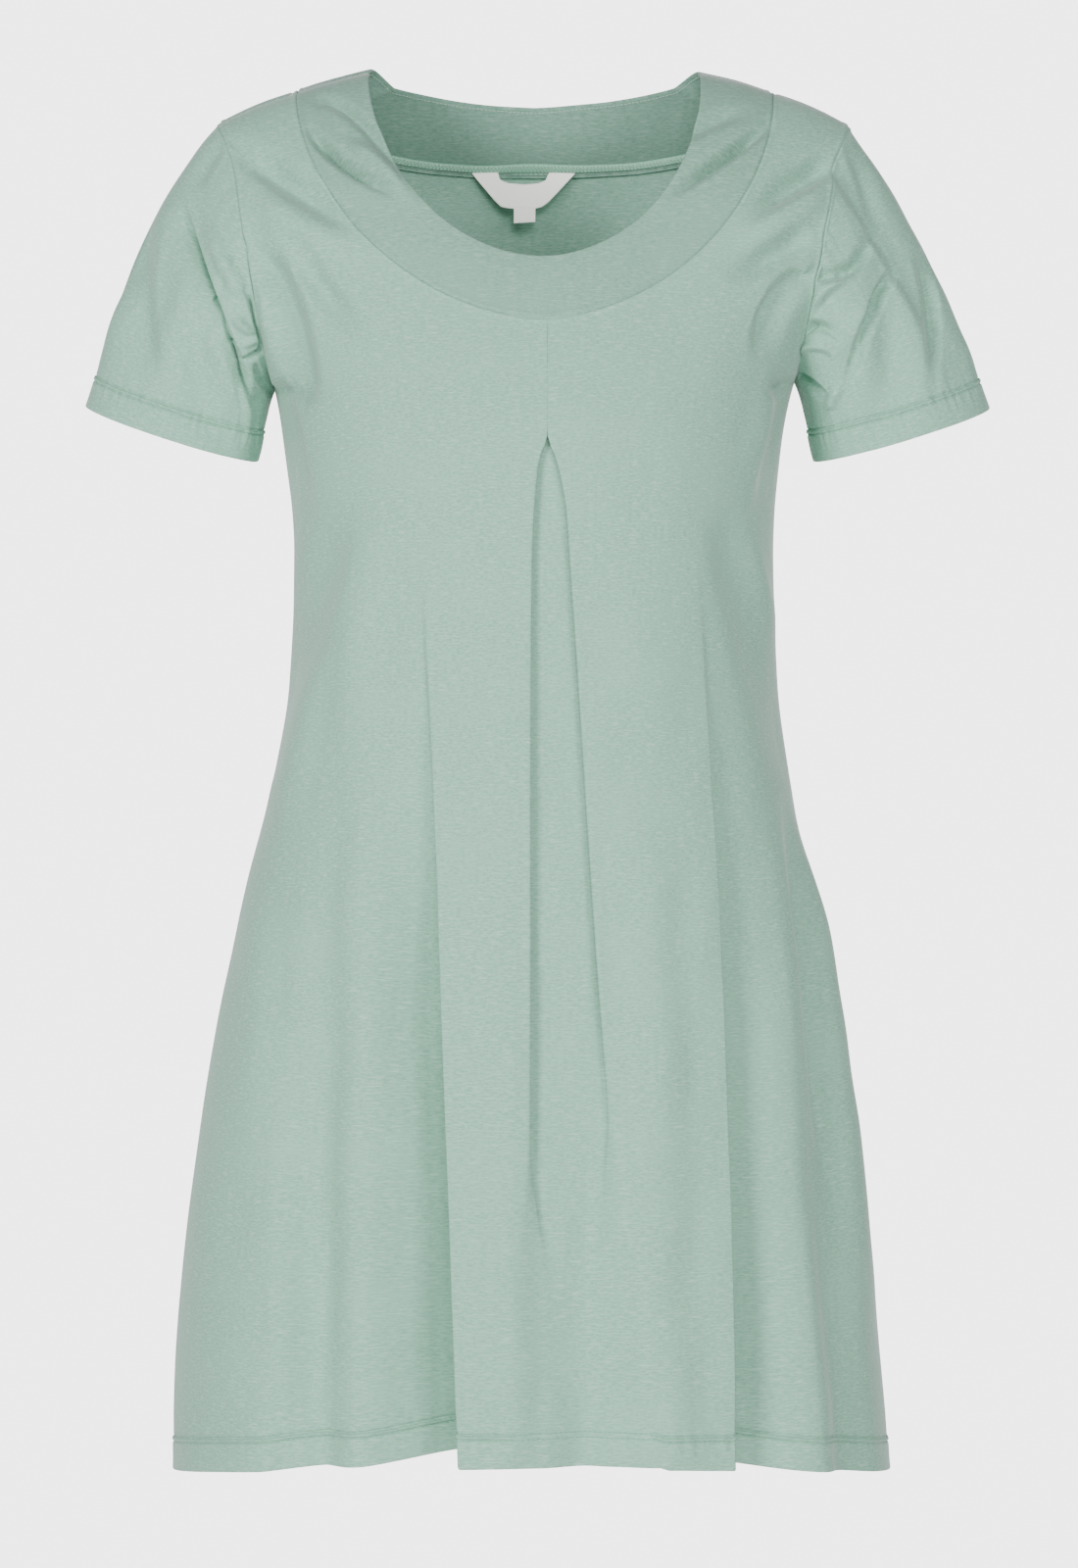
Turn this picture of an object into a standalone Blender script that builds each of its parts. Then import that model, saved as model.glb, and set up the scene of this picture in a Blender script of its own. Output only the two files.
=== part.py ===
"""Mini dress in mint jersey: A-line, scoop neck with a wide double band, short set-in sleeves,
an inverted pleat at the centre front and twin-stitched hems.

Metres, +Z up. The front faces -Y and the viewer's right is +X. The origin lies between the two
shoulder seams at the neck, which is where a wearer's shoulders carry the dress.
"""

import math
from collections import namedtuple
from functools import lru_cache

import bmesh
import bpy
import numpy as np
from mathutils.kdtree import KDTree

FRONT = -1
BACK = 1
LEFT = -1
RIGHT = 1

# Cloth
WALL = 0.0012
HEM_WALL = 0.0024
BAND_WALL = 0.0022
SEAM_GAP = 0.0004
HEM_HEIGHT = 0.0185
HEM_STEP = 0.0006

# Shoulders and side seams
SEAM_Y = 0.006
SHOULDER_ROUND = 0.090
FRONT_SQUARENESS = 2.4
BACK_SQUARENESS = 2.6
UNDERARM_Z = -0.196
HEM_SIDE_Z = -0.870
HEM_FRONT_LIFT = 0.026
HEM_BACK_LIFT = 0.010
FOLD_HEM_LIFT = 0.22
FOLD_FADE = 0.35
FOLD_TOP_REACH = 0.55
FOLD_RISE = 1.15

# Neck: half widths, and depths below the neck points
NECK_HALF_WIDTH = 0.104
FRONT_NECK_DEPTH = 0.127
FRONT_NECK_SHAPE = 1.95
BACK_NECK_DEPTH = 0.0125
BACK_NECK_SHAPE = 1.4
BAND_HALF_WIDTH = 0.148
BAND_END_Z = -0.0125
FRONT_BAND_DEPTH = 0.153
FRONT_BAND_SHAPE = 1.83
BACK_BAND_DEPTH = 0.038
BACK_BAND_SHAPE = 2.5
NECK_SWAY = 0.005

# Centre front pleat
PLEAT_X = 0.008
PLEAT_SLIT = 0.0008
PLEAT_INTAKE = 0.088
PLEAT_ROUND = 0.00165
PLEAT_LAYER_GAP = 0.0014
PLEAT_BEND = 0.0006

# Sections of the body from the shoulders down: half widths to the side seam, and how far the
# cloth stands in front of and behind it. Above the underarm the widths run on into the sleeves.
Section = namedtuple("Section", "z left right front back")
SECTIONS = (
    Section(0.030, 0.240, 0.240, 0.060, 0.056),
    Section(-0.035, 0.230, 0.230, 0.072, 0.078),
    Section(-0.065, 0.2185, 0.2185, 0.081, 0.090),
    Section(-0.100, 0.2130, 0.2130, 0.094, 0.099),
    Section(-0.137, 0.1945, 0.1945, 0.109, 0.104),
    Section(-0.172, 0.1730, 0.1720, 0.122, 0.105),
    Section(-0.196, 0.1625, 0.1615, 0.130, 0.104),
    Section(-0.235, 0.1560, 0.1540, 0.139, 0.101),
    Section(-0.300, 0.1495, 0.1490, 0.145, 0.100),
    Section(-0.382, 0.1530, 0.1520, 0.149, 0.106),
    Section(-0.443, 0.1630, 0.1600, 0.153, 0.113),
    Section(-0.504, 0.1785, 0.1700, 0.157, 0.121),
    Section(-0.565, 0.1915, 0.1810, 0.160, 0.128),
    Section(-0.626, 0.2030, 0.1905, 0.163, 0.135),
    Section(-0.687, 0.2120, 0.2010, 0.166, 0.141),
    Section(-0.748, 0.2195, 0.2105, 0.169, 0.146),
    Section(-0.809, 0.2240, 0.2165, 0.171, 0.150),
    Section(-0.880, 0.2255, 0.2230, 0.173, 0.153),
)

# Armhole seam: distance from the middle at each height
Armhole = namedtuple("Armhole", "z half_width")
ARMHOLE = (
    Armhole(-0.0325, 0.1970),
    Armhole(-0.0640, 0.1855),
    Armhole(-0.1015, 0.1790),
    Armhole(-0.1370, 0.1726),
    Armhole(-0.1720, 0.1656),
    Armhole(-0.1960, 0.1625),
)

# Shoulder seam: height at each distance from the middle
Shoulder = namedtuple("Shoulder", "x z")
SHOULDER = (
    Shoulder(0.000, 0.022),
    Shoulder(0.060, 0.014),
    Shoulder(0.104, 0.000),
    Shoulder(0.148, -0.0125),
    Shoulder(0.172, -0.0203),
    Shoulder(0.197, -0.0325),
    Shoulder(0.240, -0.0620),
)

# Opening of the centre pleat: its two folded edges, and how far back its underlay lies
Opening = namedtuple("Opening", "z left right depth openness")
PLEAT = (
    Opening(-0.150, 0.0000, 0.0000, 0.0000, 0.00),
    Opening(-0.2390, 0.0000, 0.0000, 0.0000, 0.00),
    Opening(-0.2475, 0.0036, 0.0038, 0.0006, 0.00),
    Opening(-0.2610, 0.0058, 0.0074, 0.0010, 0.00),
    Opening(-0.2830, 0.0076, 0.0112, 0.0015, 0.00),
    Opening(-0.3120, 0.0088, 0.0132, 0.0022, 0.00),
    Opening(-0.3800, 0.0094, 0.0180, 0.0036, 0.02),
    Opening(-0.4600, 0.0097, 0.0232, 0.0055, 0.06),
    Opening(-0.5600, 0.0098, 0.0300, 0.0080, 0.18),
    Opening(-0.6600, 0.0110, 0.0390, 0.0105, 0.42),
    Opening(-0.7600, 0.0140, 0.0520, 0.0120, 0.75),
    Opening(-0.8700, 0.0180, 0.0700, 0.0125, 1.00),
)

# Soft folds: where each starts and where it meets the hem, how far it reaches sideways at the
# hem, and how deep it is there. A negative depth is a ridge.
Fold = namedtuple("Fold", "top_x top_z hem_x bow depth left_reach right_reach")
FRONT_FOLDS = (
    Fold(-0.070, -0.290, -0.0515, 0.000, 0.036, 0.074, 0.0085),
    Fold(0.100, -0.300, 0.1270, 0.005, 0.024, 0.0075, 0.048),
    Fold(-0.118, -0.380, -0.1350, 0.000, 0.012, 0.030, 0.034),
    Fold(0.150, -0.420, 0.1960, 0.000, 0.010, 0.022, 0.016),
    Fold(0.045, -0.560, 0.0330, 0.000, 0.006, 0.030, 0.036),
)
BACK_FOLDS = (
    Fold(-0.085, -0.330, -0.1180, 0.000, 0.026, 0.040, 0.030),
    Fold(-0.012, -0.380, -0.0250, 0.004, 0.022, 0.034, 0.040),
    Fold(0.078, -0.300, 0.0960, -0.004, 0.029, 0.036, 0.028),
    Fold(0.030, -0.460, 0.0420, 0.000, -0.010, 0.026, 0.026),
    Fold(0.148, -0.400, 0.1980, 0.000, -0.012, 0.030, 0.022),
    Fold(-0.150, -0.450, -0.1950, 0.000, -0.008, 0.030, 0.022),
)

# Sleeves: the cuff's outer and inner ends as seen from the front, its half depth front to back,
# how much lower its front edge hangs, and how far out and how level it leaves the shoulder
Sleeve = namedtuple("Sleeve", "side outer_x outer_z inner_x inner_z half_depth front_drop spread level")
SLEEVES = (
    Sleeve(LEFT, 0.2810, -0.2065, 0.1728, -0.2415, 0.043, 0.007, 0.22, 0.26),
    Sleeve(RIGHT, 0.2850, -0.2080, 0.1745, -0.2415, 0.043, 0.007, 0.10, 0.14),
)
SLEEVE_AXIS_LEAN = 0.315
UNDERARM_SPREAD = 0.50
SLEEVE_FOLD_LENGTH = 0.28
SLEEVE_FOLD_START = 0.2

# Folds in the sleeves: place round the sleeve in degrees from the shoulder, front positive,
# at the armhole and at the cuff, with depth and reach in degrees
SleeveFold = namedtuple("SleeveFold", "armhole cuff depth reach strongest")
LEFT_SLEEVE_FOLDS = (
    SleeveFold(62.0, 122.0, 0.0060, 26.0, 0.62),
    SleeveFold(40.0, 58.0, 0.0035, 24.0, 0.60),
    SleeveFold(-70.0, -95.0, 0.0050, 30.0, 0.55),
)
RIGHT_SLEEVE_FOLDS = (
    SleeveFold(40.0, 104.0, 0.0055, 26.0, 0.60),
    SleeveFold(28.0, 44.0, 0.0035, 22.0, 0.55),
    SleeveFold(-64.0, -90.0, 0.0050, 30.0, 0.55),
)

# Label inside the back neck
LABEL_X = -0.007
LABEL_HALF_WIDTH = 0.033
LABEL_TOP_Z = -0.0500
LABEL_DROP = 0.0235
LABEL_WALL = 0.0010
LABEL_CLEARANCE = 0.0012
TAB_WIDTH = 0.0138
TAB_DROP = 0.0095
LABEL_OUTLINE = (
    (-1.00, 0.00), (-0.46, 0.00), (-0.44, -0.22), (0.02, -0.33), (0.46, -0.22), (0.48, 0.00),
    (1.00, 0.00), (0.33, -1.00), (-0.30, -1.00), (-0.52, -0.84),
)
TAB_OUTLINE = ((-0.45, 0.0), (-0.39, -1.0), (0.55, -0.86), (0.55, 0.0))

# Colours
MINT = (0.400, 0.520, 0.460, 1.0)
LABEL_WHITE = (0.86, 0.84, 0.80, 1.0)

# Columns of a panel. Across the body they lie between -1 and 1, the side seams; along the top
# edge the band seam lies between -CORNER and CORNER and the shoulder seams outside it. The named
# ones follow the two deep folds and the pleat, and the columns crowd together beside them.
CORNER = 0.80
CORNER_SWING = 0.085
SWING_START = 0.40
EVEN_UP_TO = 0.35
ARMHOLE_FROM = 0.90
SIDE, SHOULDER_START = 1.0, 0.73
FOLD_A, PLEAT_LEFT, PLEAT_RIGHT, FOLD_B = -0.40, -0.04, 0.04, 0.50
SHOULDER_COLUMNS = (0.73, 0.80, 0.87, 0.93, 0.975, 1.0)
FRONT_INNER_COLUMNS = (
    -0.717, -0.70, -0.66, -0.61, -0.56, -0.51, -0.46, -0.42, FOLD_A, -0.385, -0.37, -0.335, -0.26, -0.17,
    -0.09, PLEAT_LEFT, PLEAT_RIGHT, 0.10, 0.19, 0.28, 0.37, 0.44, 0.475, 0.488, FOLD_B, 0.52, 0.56,
    0.61, 0.66, 0.70, 0.717,
)
BACK_INNER_COLUMNS = (
    -0.717, -0.70, -0.66, -0.605, -0.55, -0.495, -0.44, -0.385, -0.33, -0.275, -0.22, -0.165, -0.11,
    -0.055, 0.0, 0.055, 0.11, 0.165, 0.22, 0.275, 0.33, 0.385, 0.44, 0.495, 0.55, 0.605, 0.66, 0.70, 0.717,
)
YOKE_ROWS = 11
SKIRT_ROWS = (
    -0.217, -0.2385, -0.2475, -0.2610, -0.2830, -0.3150, -0.3550, -0.4000,
    -0.4500, -0.5000, -0.5550, -0.6150, -0.6750, -0.7350, -0.7950,
)
SLEEVE_ROWS = (0.0, 0.07, 0.17, 0.30, 0.44, 0.58, 0.71)
SLEEVE_HEM_ROWS = (0.832, 0.842, 1.0)
BAND_ROWS = 4
SAME_POINT = 0.00005
MITRE_BLUNTNESS = 0.12
MITRE_LIMIT = 2.4


def clear_scene():
    """Removes whatever the scene holds."""
    for thing in list(bpy.data.objects):
        bpy.data.objects.remove(thing)


@lru_cache(maxsize=None)
def table_curve(table, key, column):
    """The stations, values and slopes of one column of a table."""
    rows = sorted(table, key=lambda row: getattr(row, key))
    stations = np.array([getattr(row, key) for row in rows])
    values = np.array([getattr(row, column) for row in rows])
    steps = np.diff(stations)
    slopes = np.diff(values) / steps
    tangents = np.zeros(len(rows))
    for i in range(1, len(rows) - 1):
        if slopes[i - 1] * slopes[i] > 0.0:
            before = 2.0 * steps[i] + steps[i - 1]
            after = steps[i] + 2.0 * steps[i - 1]
            tangents[i] = (before + after) / (before / slopes[i - 1] + after / slopes[i])
    tangents[0] = slopes[0]
    tangents[-1] = slopes[-1]
    return stations, values, tangents


def read(table, key, column, at):
    """One column of a table, read at a value of its key column without overshooting."""
    stations, values, tangents = table_curve(table, key, column)
    at = min(max(at, stations[0]), stations[-1])
    i = min(max(int(np.searchsorted(stations, at)) - 1, 0), len(stations) - 2)
    step = stations[i + 1] - stations[i]
    t = (at - stations[i]) / step
    start = (2 * t**3 - 3 * t**2 + 1) * values[i] + (t**3 - 2 * t**2 + t) * step * tangents[i]
    end = (3 * t**2 - 2 * t**3) * values[i + 1] + (t**3 - t**2) * step * tangents[i + 1]
    return start + end


def ease(t):
    """0 to 1 with level ends."""
    t = min(max(t, 0.0), 1.0)
    return t * t * (3.0 - 2.0 * t)


def half_width(z, side):
    """Half width of the body at a height, on one side of the middle."""
    return read(SECTIONS, "z", "left" if side < 0 else "right", z)


def shoulder_height(x):
    """Height of the shoulder seam at a distance from the middle."""
    return read(SHOULDER, "x", "z", abs(x))


def angle_at(x, z):
    """Place round the body, in radians from the middle, of a point seen at x from the front."""
    share = x / half_width(z, x)
    return math.asin(min(max(share, -1.0), 1.0))


def body_point(angle, z, face):
    """A point on the plain outer surface of the body, before any fold."""
    x = half_width(z, angle) * math.sin(angle)
    squareness = FRONT_SQUARENESS if face == FRONT else BACK_SQUARENESS
    across = max(1.0 - abs(math.sin(angle)) ** squareness, 0.0) ** (1.0 / squareness)
    drop = min(max((shoulder_height(x) - z) / SHOULDER_ROUND, 0.0), 1.0)
    rounding = math.sqrt(max(1.0 - (1.0 - drop) ** 2, 0.0))
    depth = read(SECTIONS, "z", "front" if face == FRONT else "back", z) * across * rounding
    return np.array([x, SEAM_Y + face * depth, z])


def body_normal(angle, z, face):
    """The direction out of the plain body surface."""
    small_angle = 0.02
    small_height = 0.004
    inner = min(max(angle, -math.pi / 2 + 2 * small_angle), math.pi / 2 - 2 * small_angle)
    across = body_point(inner + small_angle, z, face) - body_point(inner - small_angle, z, face)
    up = body_point(inner, z + small_height, face) - body_point(inner, z - small_height, face)
    normal = np.cross(across, up) * -face
    return normal / np.linalg.norm(normal)


def fold_run(fold, z):
    """How far down a fold a height lies, from 0 at its start to 1 at the hem."""
    return min(max((fold.top_z - z) / (fold.top_z - HEM_SIDE_Z), 0.0), 1.0)


def fold_line(fold, z):
    """Where a fold lies at a height, seen from the front."""
    run = fold_run(fold, z)
    return fold.top_x + (fold.hem_x - fold.top_x) * run + fold.bow * math.sin(math.pi * run)


def fold_depth(folds, x, z):
    """How far the cloth falls back at a point seen at (x, z) from the front."""
    total = 0.0
    for fold in folds:
        run = fold_run(fold, z)
        reach = fold.left_reach if x < fold_line(fold, z) else fold.right_reach
        away = abs(x - fold_line(fold, z)) / (reach * (FOLD_TOP_REACH + (1.0 - FOLD_TOP_REACH) * run))
        if away < 1.0:
            total += fold.depth * ease(run * FOLD_RISE) * math.cos(math.pi * away / 2.0) ** 2
    return total


def hem_height(angle, x, face, folds):
    """Height of the hem edge round the dress."""
    lift = HEM_FRONT_LIFT if face == FRONT else HEM_BACK_LIFT
    fallen = fold_depth(folds, x, HEM_SIDE_Z) * math.cos(angle)
    return HEM_SIDE_Z + lift * math.cos(angle) + FOLD_HEM_LIFT * fallen


def neck_curve(turn, half_width_top, depth, shape, top_z, sway):
    """A U-shaped neck or band line seen from the front; turn runs from -1 to 1."""
    angle = turn * math.pi / 2.0
    across = math.copysign(abs(math.sin(angle)) ** (2.0 / shape), angle)
    down = abs(math.cos(angle)) ** (2.0 / shape)
    return half_width_top * across + sway * down, top_z - depth * down


def neck_line(turn, face):
    """The edge of the neck opening."""
    if face == FRONT:
        return neck_curve(turn, NECK_HALF_WIDTH, FRONT_NECK_DEPTH, FRONT_NECK_SHAPE, 0.0, NECK_SWAY)
    return neck_curve(turn, NECK_HALF_WIDTH, BACK_NECK_DEPTH, BACK_NECK_SHAPE, 0.0, 0.0)


def band_line(turn, face):
    """The seam between a neck band and its panel."""
    if face == FRONT:
        return neck_curve(turn, BAND_HALF_WIDTH, FRONT_BAND_DEPTH, FRONT_BAND_SHAPE, BAND_END_Z, NECK_SWAY)
    return neck_curve(turn, BAND_HALF_WIDTH, BACK_BAND_DEPTH, BACK_BAND_SHAPE, BAND_END_Z, 0.0)


def band_turn(x):
    """Where along the front band seam a point seen at x lies."""
    turns = np.linspace(-0.7, 0.7, 141)
    places = [band_line(t, FRONT)[0] for t in turns]
    return float(np.interp(x, places, turns))


def armhole_angle(run, side):
    """Place round the body of the armhole seam, from 0 at the shoulder to 1 at the underarm."""
    if run >= 1.0:
        return side * math.pi / 2.0
    z = ARMHOLE[0].z + (UNDERARM_Z - ARMHOLE[0].z) * run
    return side * angle_at(read(ARMHOLE, "z", "half_width", z), z)


def armhole_runs(face):
    """Stations down the armhole seam, evenly spaced along the cloth."""
    runs = np.linspace(0.0, 1.0, 81)
    heights = ARMHOLE[0].z + (UNDERARM_Z - ARMHOLE[0].z) * runs
    points = [body_point(armhole_angle(run, LEFT), z, face) for run, z in zip(runs, heights)]
    steps = [np.linalg.norm(b - a) for a, b in zip(points, points[1:])]
    along = np.concatenate([[0.0], np.cumsum(steps)])
    return np.interp(np.linspace(0.0, along[-1], YOKE_ROWS), along, runs)


Pleat = namedtuple("Pleat", "left right under underlay openness")


def pleat_at(z):
    """The pleat at a height: its two edges, its hidden returns and the depth of its underlay."""
    left = PLEAT_X - PLEAT_SLIT / 2.0 - read(PLEAT, "z", "left", z)
    right = PLEAT_X + PLEAT_SLIT / 2.0 + read(PLEAT, "z", "right", z)
    under = max((PLEAT_INTAKE - (right - left)) / 4.0, PLEAT_ROUND)
    underlay = 2.0 * PLEAT_ROUND + PLEAT_LAYER_GAP + read(PLEAT, "z", "depth", z)
    return Pleat(left, right, under, underlay, read(PLEAT, "z", "openness", z))


def pleat_columns(pleat):
    """(x, depth) across the pleat, between the last flat points beside its two edges."""
    r = PLEAT_ROUND
    corner = r * (1.0 - math.sqrt(0.5))
    folded = (
        (-corner, corner),
        (0.0, r),
        (-corner, 2.0 * r - corner),
        (-r, 2.0 * r),
        (-pleat.under, 2.0 * r),
        (-pleat.under - PLEAT_BEND, r + pleat.underlay / 2.0),
        (-pleat.under, pleat.underlay),
    )
    middle = (pleat.left + pleat.right) / 2.0
    left = []
    right = []
    for i, (x, depth) in enumerate(folded):
        share = (i + 1) / (len(folded) + 1)
        open_x = -r + (middle - pleat.left + r) * share
        open_depth = pleat.underlay * math.sin(share * math.pi / 2.0) ** 2
        x += (open_x - x) * pleat.openness
        depth += (open_depth - depth) * pleat.openness
        left.append((pleat.left + x, depth))
        right.append((pleat.right - x, depth))
    return left + [(middle, pleat.underlay)] + right[::-1]


def front_angle(place, z):
    """Place round the body of one of the front's columns at a height."""
    pleat = pleat_at(z)
    lines = (
        fold_line(FRONT_FOLDS[0], z),
        pleat.left - PLEAT_ROUND,
        pleat.right + PLEAT_ROUND,
        fold_line(FRONT_FOLDS[1], z),
    )
    places = (-SIDE, FOLD_A, PLEAT_LEFT, PLEAT_RIGHT, FOLD_B, SIDE)
    angles = [-math.pi / 2.0] + [angle_at(x, z) for x in lines] + [math.pi / 2.0]
    return float(np.interp(place, places, angles))


def panel_columns(face):
    """(place across the body, place along the top edge) of each of a panel's columns."""
    inner = FRONT_INNER_COLUMNS if face == FRONT else BACK_INNER_COLUMNS
    body = [-c for c in SHOULDER_COLUMNS[::-1]] + list(inner) + list(SHOULDER_COLUMNS)
    if face == FRONT:
        pleat = pleat_at(BAND_END_Z - FRONT_BAND_DEPTH)
        pleat_left = CORNER * band_turn(pleat.left - PLEAT_ROUND)
        pleat_right = CORNER * band_turn(pleat.right + PLEAT_ROUND)
        guides = [FOLD_A, PLEAT_LEFT, PLEAT_RIGHT, FOLD_B]
        tops = [-0.40, pleat_left, pleat_right, 0.46]
    else:
        guides = [0.0]
        tops = [0.0]
    outer_guides = [0.66, 0.70, 0.717, SHOULDER_START, 1.0]
    outer_tops = [0.70, 0.76, 0.788, CORNER, 1.0]
    guides = [-g for g in outer_guides[::-1]] + guides + outer_guides
    tops = [-t for t in outer_tops[::-1]] + tops + outer_tops
    return [(c, float(np.interp(c, guides, tops))) for c in body]


def top_edge(top, face):
    """The panel's upper edge: the band seam in the middle and the shoulder seams outside it."""
    if abs(top) <= CORNER:
        return band_line(top / CORNER, face)
    run = (abs(top) - CORNER) / (1.0 - CORNER)
    x = BAND_HALF_WIDTH + (ARMHOLE[0].half_width - BAND_HALF_WIDTH) * run
    return math.copysign(x, top), shoulder_height(x)


def yoke_row(row, columns, face):
    """(angle, z) of one row between the top edge and the underarm."""
    armhole_run = armhole_runs(face)[row]
    even_run = row / (YOKE_ROWS - 1)
    points = []
    for place, top in columns:
        side = math.copysign(1.0, place)
        x, z_top = top_edge(top, face)
        outer = ease((abs(place) - EVEN_UP_TO) / (ARMHOLE_FROM - EVEN_UP_TO))
        run = even_run + (armhole_run - even_run) * outer
        z = z_top + (UNDERARM_Z - z_top) * run
        start = angle_at(x, z_top)
        end = front_angle(place, UNDERARM_Z) if face == FRONT else place * math.pi / 2.0
        edge = armhole_angle(run, side)
        edge_start = armhole_angle(0.0, side)
        bend = edge - edge_start - (side * math.pi / 2.0 - edge_start) * run**1.5
        beside_corner = float(np.interp(abs(place), (SWING_START, SHOULDER_START, 1.0), (0.0, 1.0, 0.0)))
        swing = side * CORNER_SWING * beside_corner * math.sin(math.pi * math.sqrt(run))
        angle = start + (end - start) * run**1.5 + bend * abs(place) ** 3 + swing
        points.append((edge if abs(place) == 1.0 else angle, z))
    return points


def panel_grid(face, folds):
    """Rows of points of a front or back panel from its top edge to its hem."""
    columns = panel_columns(face)

    def surface(angle, z, extra):
        x = half_width(z, angle) * math.sin(angle)
        depth = fold_depth(folds, x, z) * ease(math.cos(angle) / FOLD_FADE) + extra
        return body_point(angle, z, face) - body_normal(angle, z, face) * depth

    def finish(plain, at_band):
        points = []
        for (place, _), (angle, z) in zip(columns, plain):
            points.append(surface(angle, z, 0.0))
            if face == FRONT and place == PLEAT_LEFT:
                for x, depth in pleat_columns(pleat_at(z)):
                    height = band_line(band_turn(x), FRONT)[1] - SEAM_GAP if at_band else z
                    points.append(surface(angle_at(x, height), height, depth))
        return points

    rows = [finish(yoke_row(row, columns, face), row == 0) for row in range(YOKE_ROWS)]
    hem_top = HEM_SIDE_Z + HEM_HEIGHT
    for z_side in SKIRT_ROWS + (hem_top + HEM_STEP, hem_top, HEM_SIDE_Z):
        down = (z_side - UNDERARM_Z) / (HEM_SIDE_Z - UNDERARM_Z)
        plain = []
        for place, _ in columns:
            angle = front_angle(place, z_side) if face == FRONT else place * math.pi / 2.0
            hem = hem_height(angle, half_width(HEM_SIDE_Z, angle) * math.sin(angle), face, folds)
            lift = (hem - HEM_SIDE_Z) * down**2
            plain.append((angle, z_side + lift))
        rows.append(finish(plain, False))
    return np.array(rows)


def neck_band(face):
    """Rows of a neck band from the neck edge down to its seam with the panel."""
    turns = [top / CORNER for _, top in panel_columns(face) if abs(top) <= CORNER]
    rows = []
    for row in range(BAND_ROWS + 1):
        points = []
        for turn in turns:
            upper = np.array(neck_line(turn, face))
            x, z = upper + (np.array(band_line(turn, face)) - upper) * row / BAND_ROWS
            z = shoulder_height(x) if abs(turn) == 1.0 else z
            points.append(body_point(angle_at(x, z), z, face))
        rows.append(points)
    return np.array(rows)


def sleeve_fold_depth(folds, run, degrees):
    """How far a sleeve's cloth falls in."""
    total = 0.0
    for fold in folds:
        line = fold.armhole + (fold.cuff - fold.armhole) * run
        away = abs(degrees - line) / fold.reach
        if away < 1.0:
            strength = math.exp(-(((run - fold.strongest) / SLEEVE_FOLD_LENGTH) ** 2))
            strength *= ease(run / SLEEVE_FOLD_START)
            total += fold.depth * strength * math.cos(math.pi * away / 2.0) ** 2
    return total


def sleeve_rings(sleeve, folds, front_edge, back_edge):
    """Rings of a sleeve from the armhole seam to the cuff."""
    side = sleeve.side
    armhole = np.array(list(front_edge) + list(back_edge[-2:0:-1]))
    armhole_middle = armhole.mean(axis=0)
    outer = np.array([side * sleeve.outer_x, SEAM_Y, sleeve.outer_z])
    inner = np.array([side * sleeve.inner_x, SEAM_Y, sleeve.inner_z])
    middle = (outer + inner) / 2.0
    to_front = np.array([0.0, -sleeve.half_depth, -sleeve.front_drop])
    axis = np.array([side * SLEEVE_AXIS_LEAN, 0.0, -math.sqrt(1.0 - SLEEVE_AXIS_LEAN**2)])
    rings = []
    for t in SLEEVE_ROWS + SLEEVE_HEM_ROWS:
        points = []
        for i, begin in enumerate(armhole):
            turn = 2.0 * math.pi * i / len(armhole)
            top = (1.0 + math.cos(turn)) / 2.0
            end = middle + (outer - middle) * math.cos(turn) + to_front * math.sin(turn)
            spread = UNDERARM_SPREAD + sleeve.spread * top
            lead = np.array([side * spread, 0.0, sleeve.level * top - 1.0])
            lead /= np.linalg.norm(lead)
            reach = np.linalg.norm(end - begin)
            point = (2 * t**3 - 3 * t**2 + 1) * begin + (t**3 - 2 * t**2 + t) * lead * reach
            point = point + (3 * t**2 - 2 * t**3) * end + (t**3 - t**2) * axis * reach
            out = point - (middle * t + armhole_middle * (1.0 - t))
            out -= axis * float(out @ axis)
            out /= np.linalg.norm(out)
            degrees = (math.degrees(turn) + 180.0) % 360.0 - 180.0
            points.append(point - out * sleeve_fold_depth(folds, t, degrees))
        rings.append(points + [points[0]])
    return np.array(rings)


Piece = namedtuple("Piece", "name rows wall hem_wall closed face_out material")


def grid_normals(rows, closed, face_out):
    """Directions out of a grid of points."""
    wide = np.concatenate([rows[:, -2:-1], rows, rows[:, 1:2]], axis=1) if closed else rows
    along = wide[:-1, 1:] - wide[1:, :-1]
    across = wide[1:, 1:] - wide[:-1, :-1]
    faces = np.cross(across, along) * face_out
    faces /= np.maximum(np.linalg.norm(faces, axis=2, keepdims=True), 1e-12)
    normals = np.zeros_like(wide)
    normals[:-1, :-1] += faces
    normals[:-1, 1:] += faces
    normals[1:, :-1] += faces
    normals[1:, 1:] += faces
    if closed:
        normals = normals[:, 1:-1]
    return normals / np.linalg.norm(normals, axis=2, keepdims=True)


def border(rows, side):
    """The indices of one side of a grid and of the line of points next to it."""
    down, across = rows.shape[:2]
    if side == "top":
        return [(0, c) for c in range(across)], [(1, c) for c in range(across)]
    if side == "bottom":
        return [(down - 1, c) for c in range(across)], [(down - 2, c) for c in range(across)]
    if side == "left":
        return [(r, 0) for r in range(down)], [(r, 1) for r in range(down)]
    return [(r, across - 1) for r in range(down)], [(r, across - 2) for r in range(down)]


def wall_of(piece):
    """How thick a piece is at each point of its grid."""
    wall = np.full(piece.rows.shape[:2], piece.wall)
    if piece.hem_wall:
        wall[-2:] = piece.hem_wall
    return wall


def sides_of(piece):
    """The sides of a piece's grid that are edges of its cloth."""
    return ("top",) if piece.closed else ("top", "bottom", "left", "right")


def mitre(normals, walls):
    """The step from a seam's outer line to its inner one that suits every piece meeting there."""
    step = np.linalg.lstsq(np.array(normals), np.array(walls), rcond=MITRE_BLUNTNESS)[0]
    length = np.linalg.norm(step)
    return step * min(1.0, MITRE_LIMIT * max(walls) / length)


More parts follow.
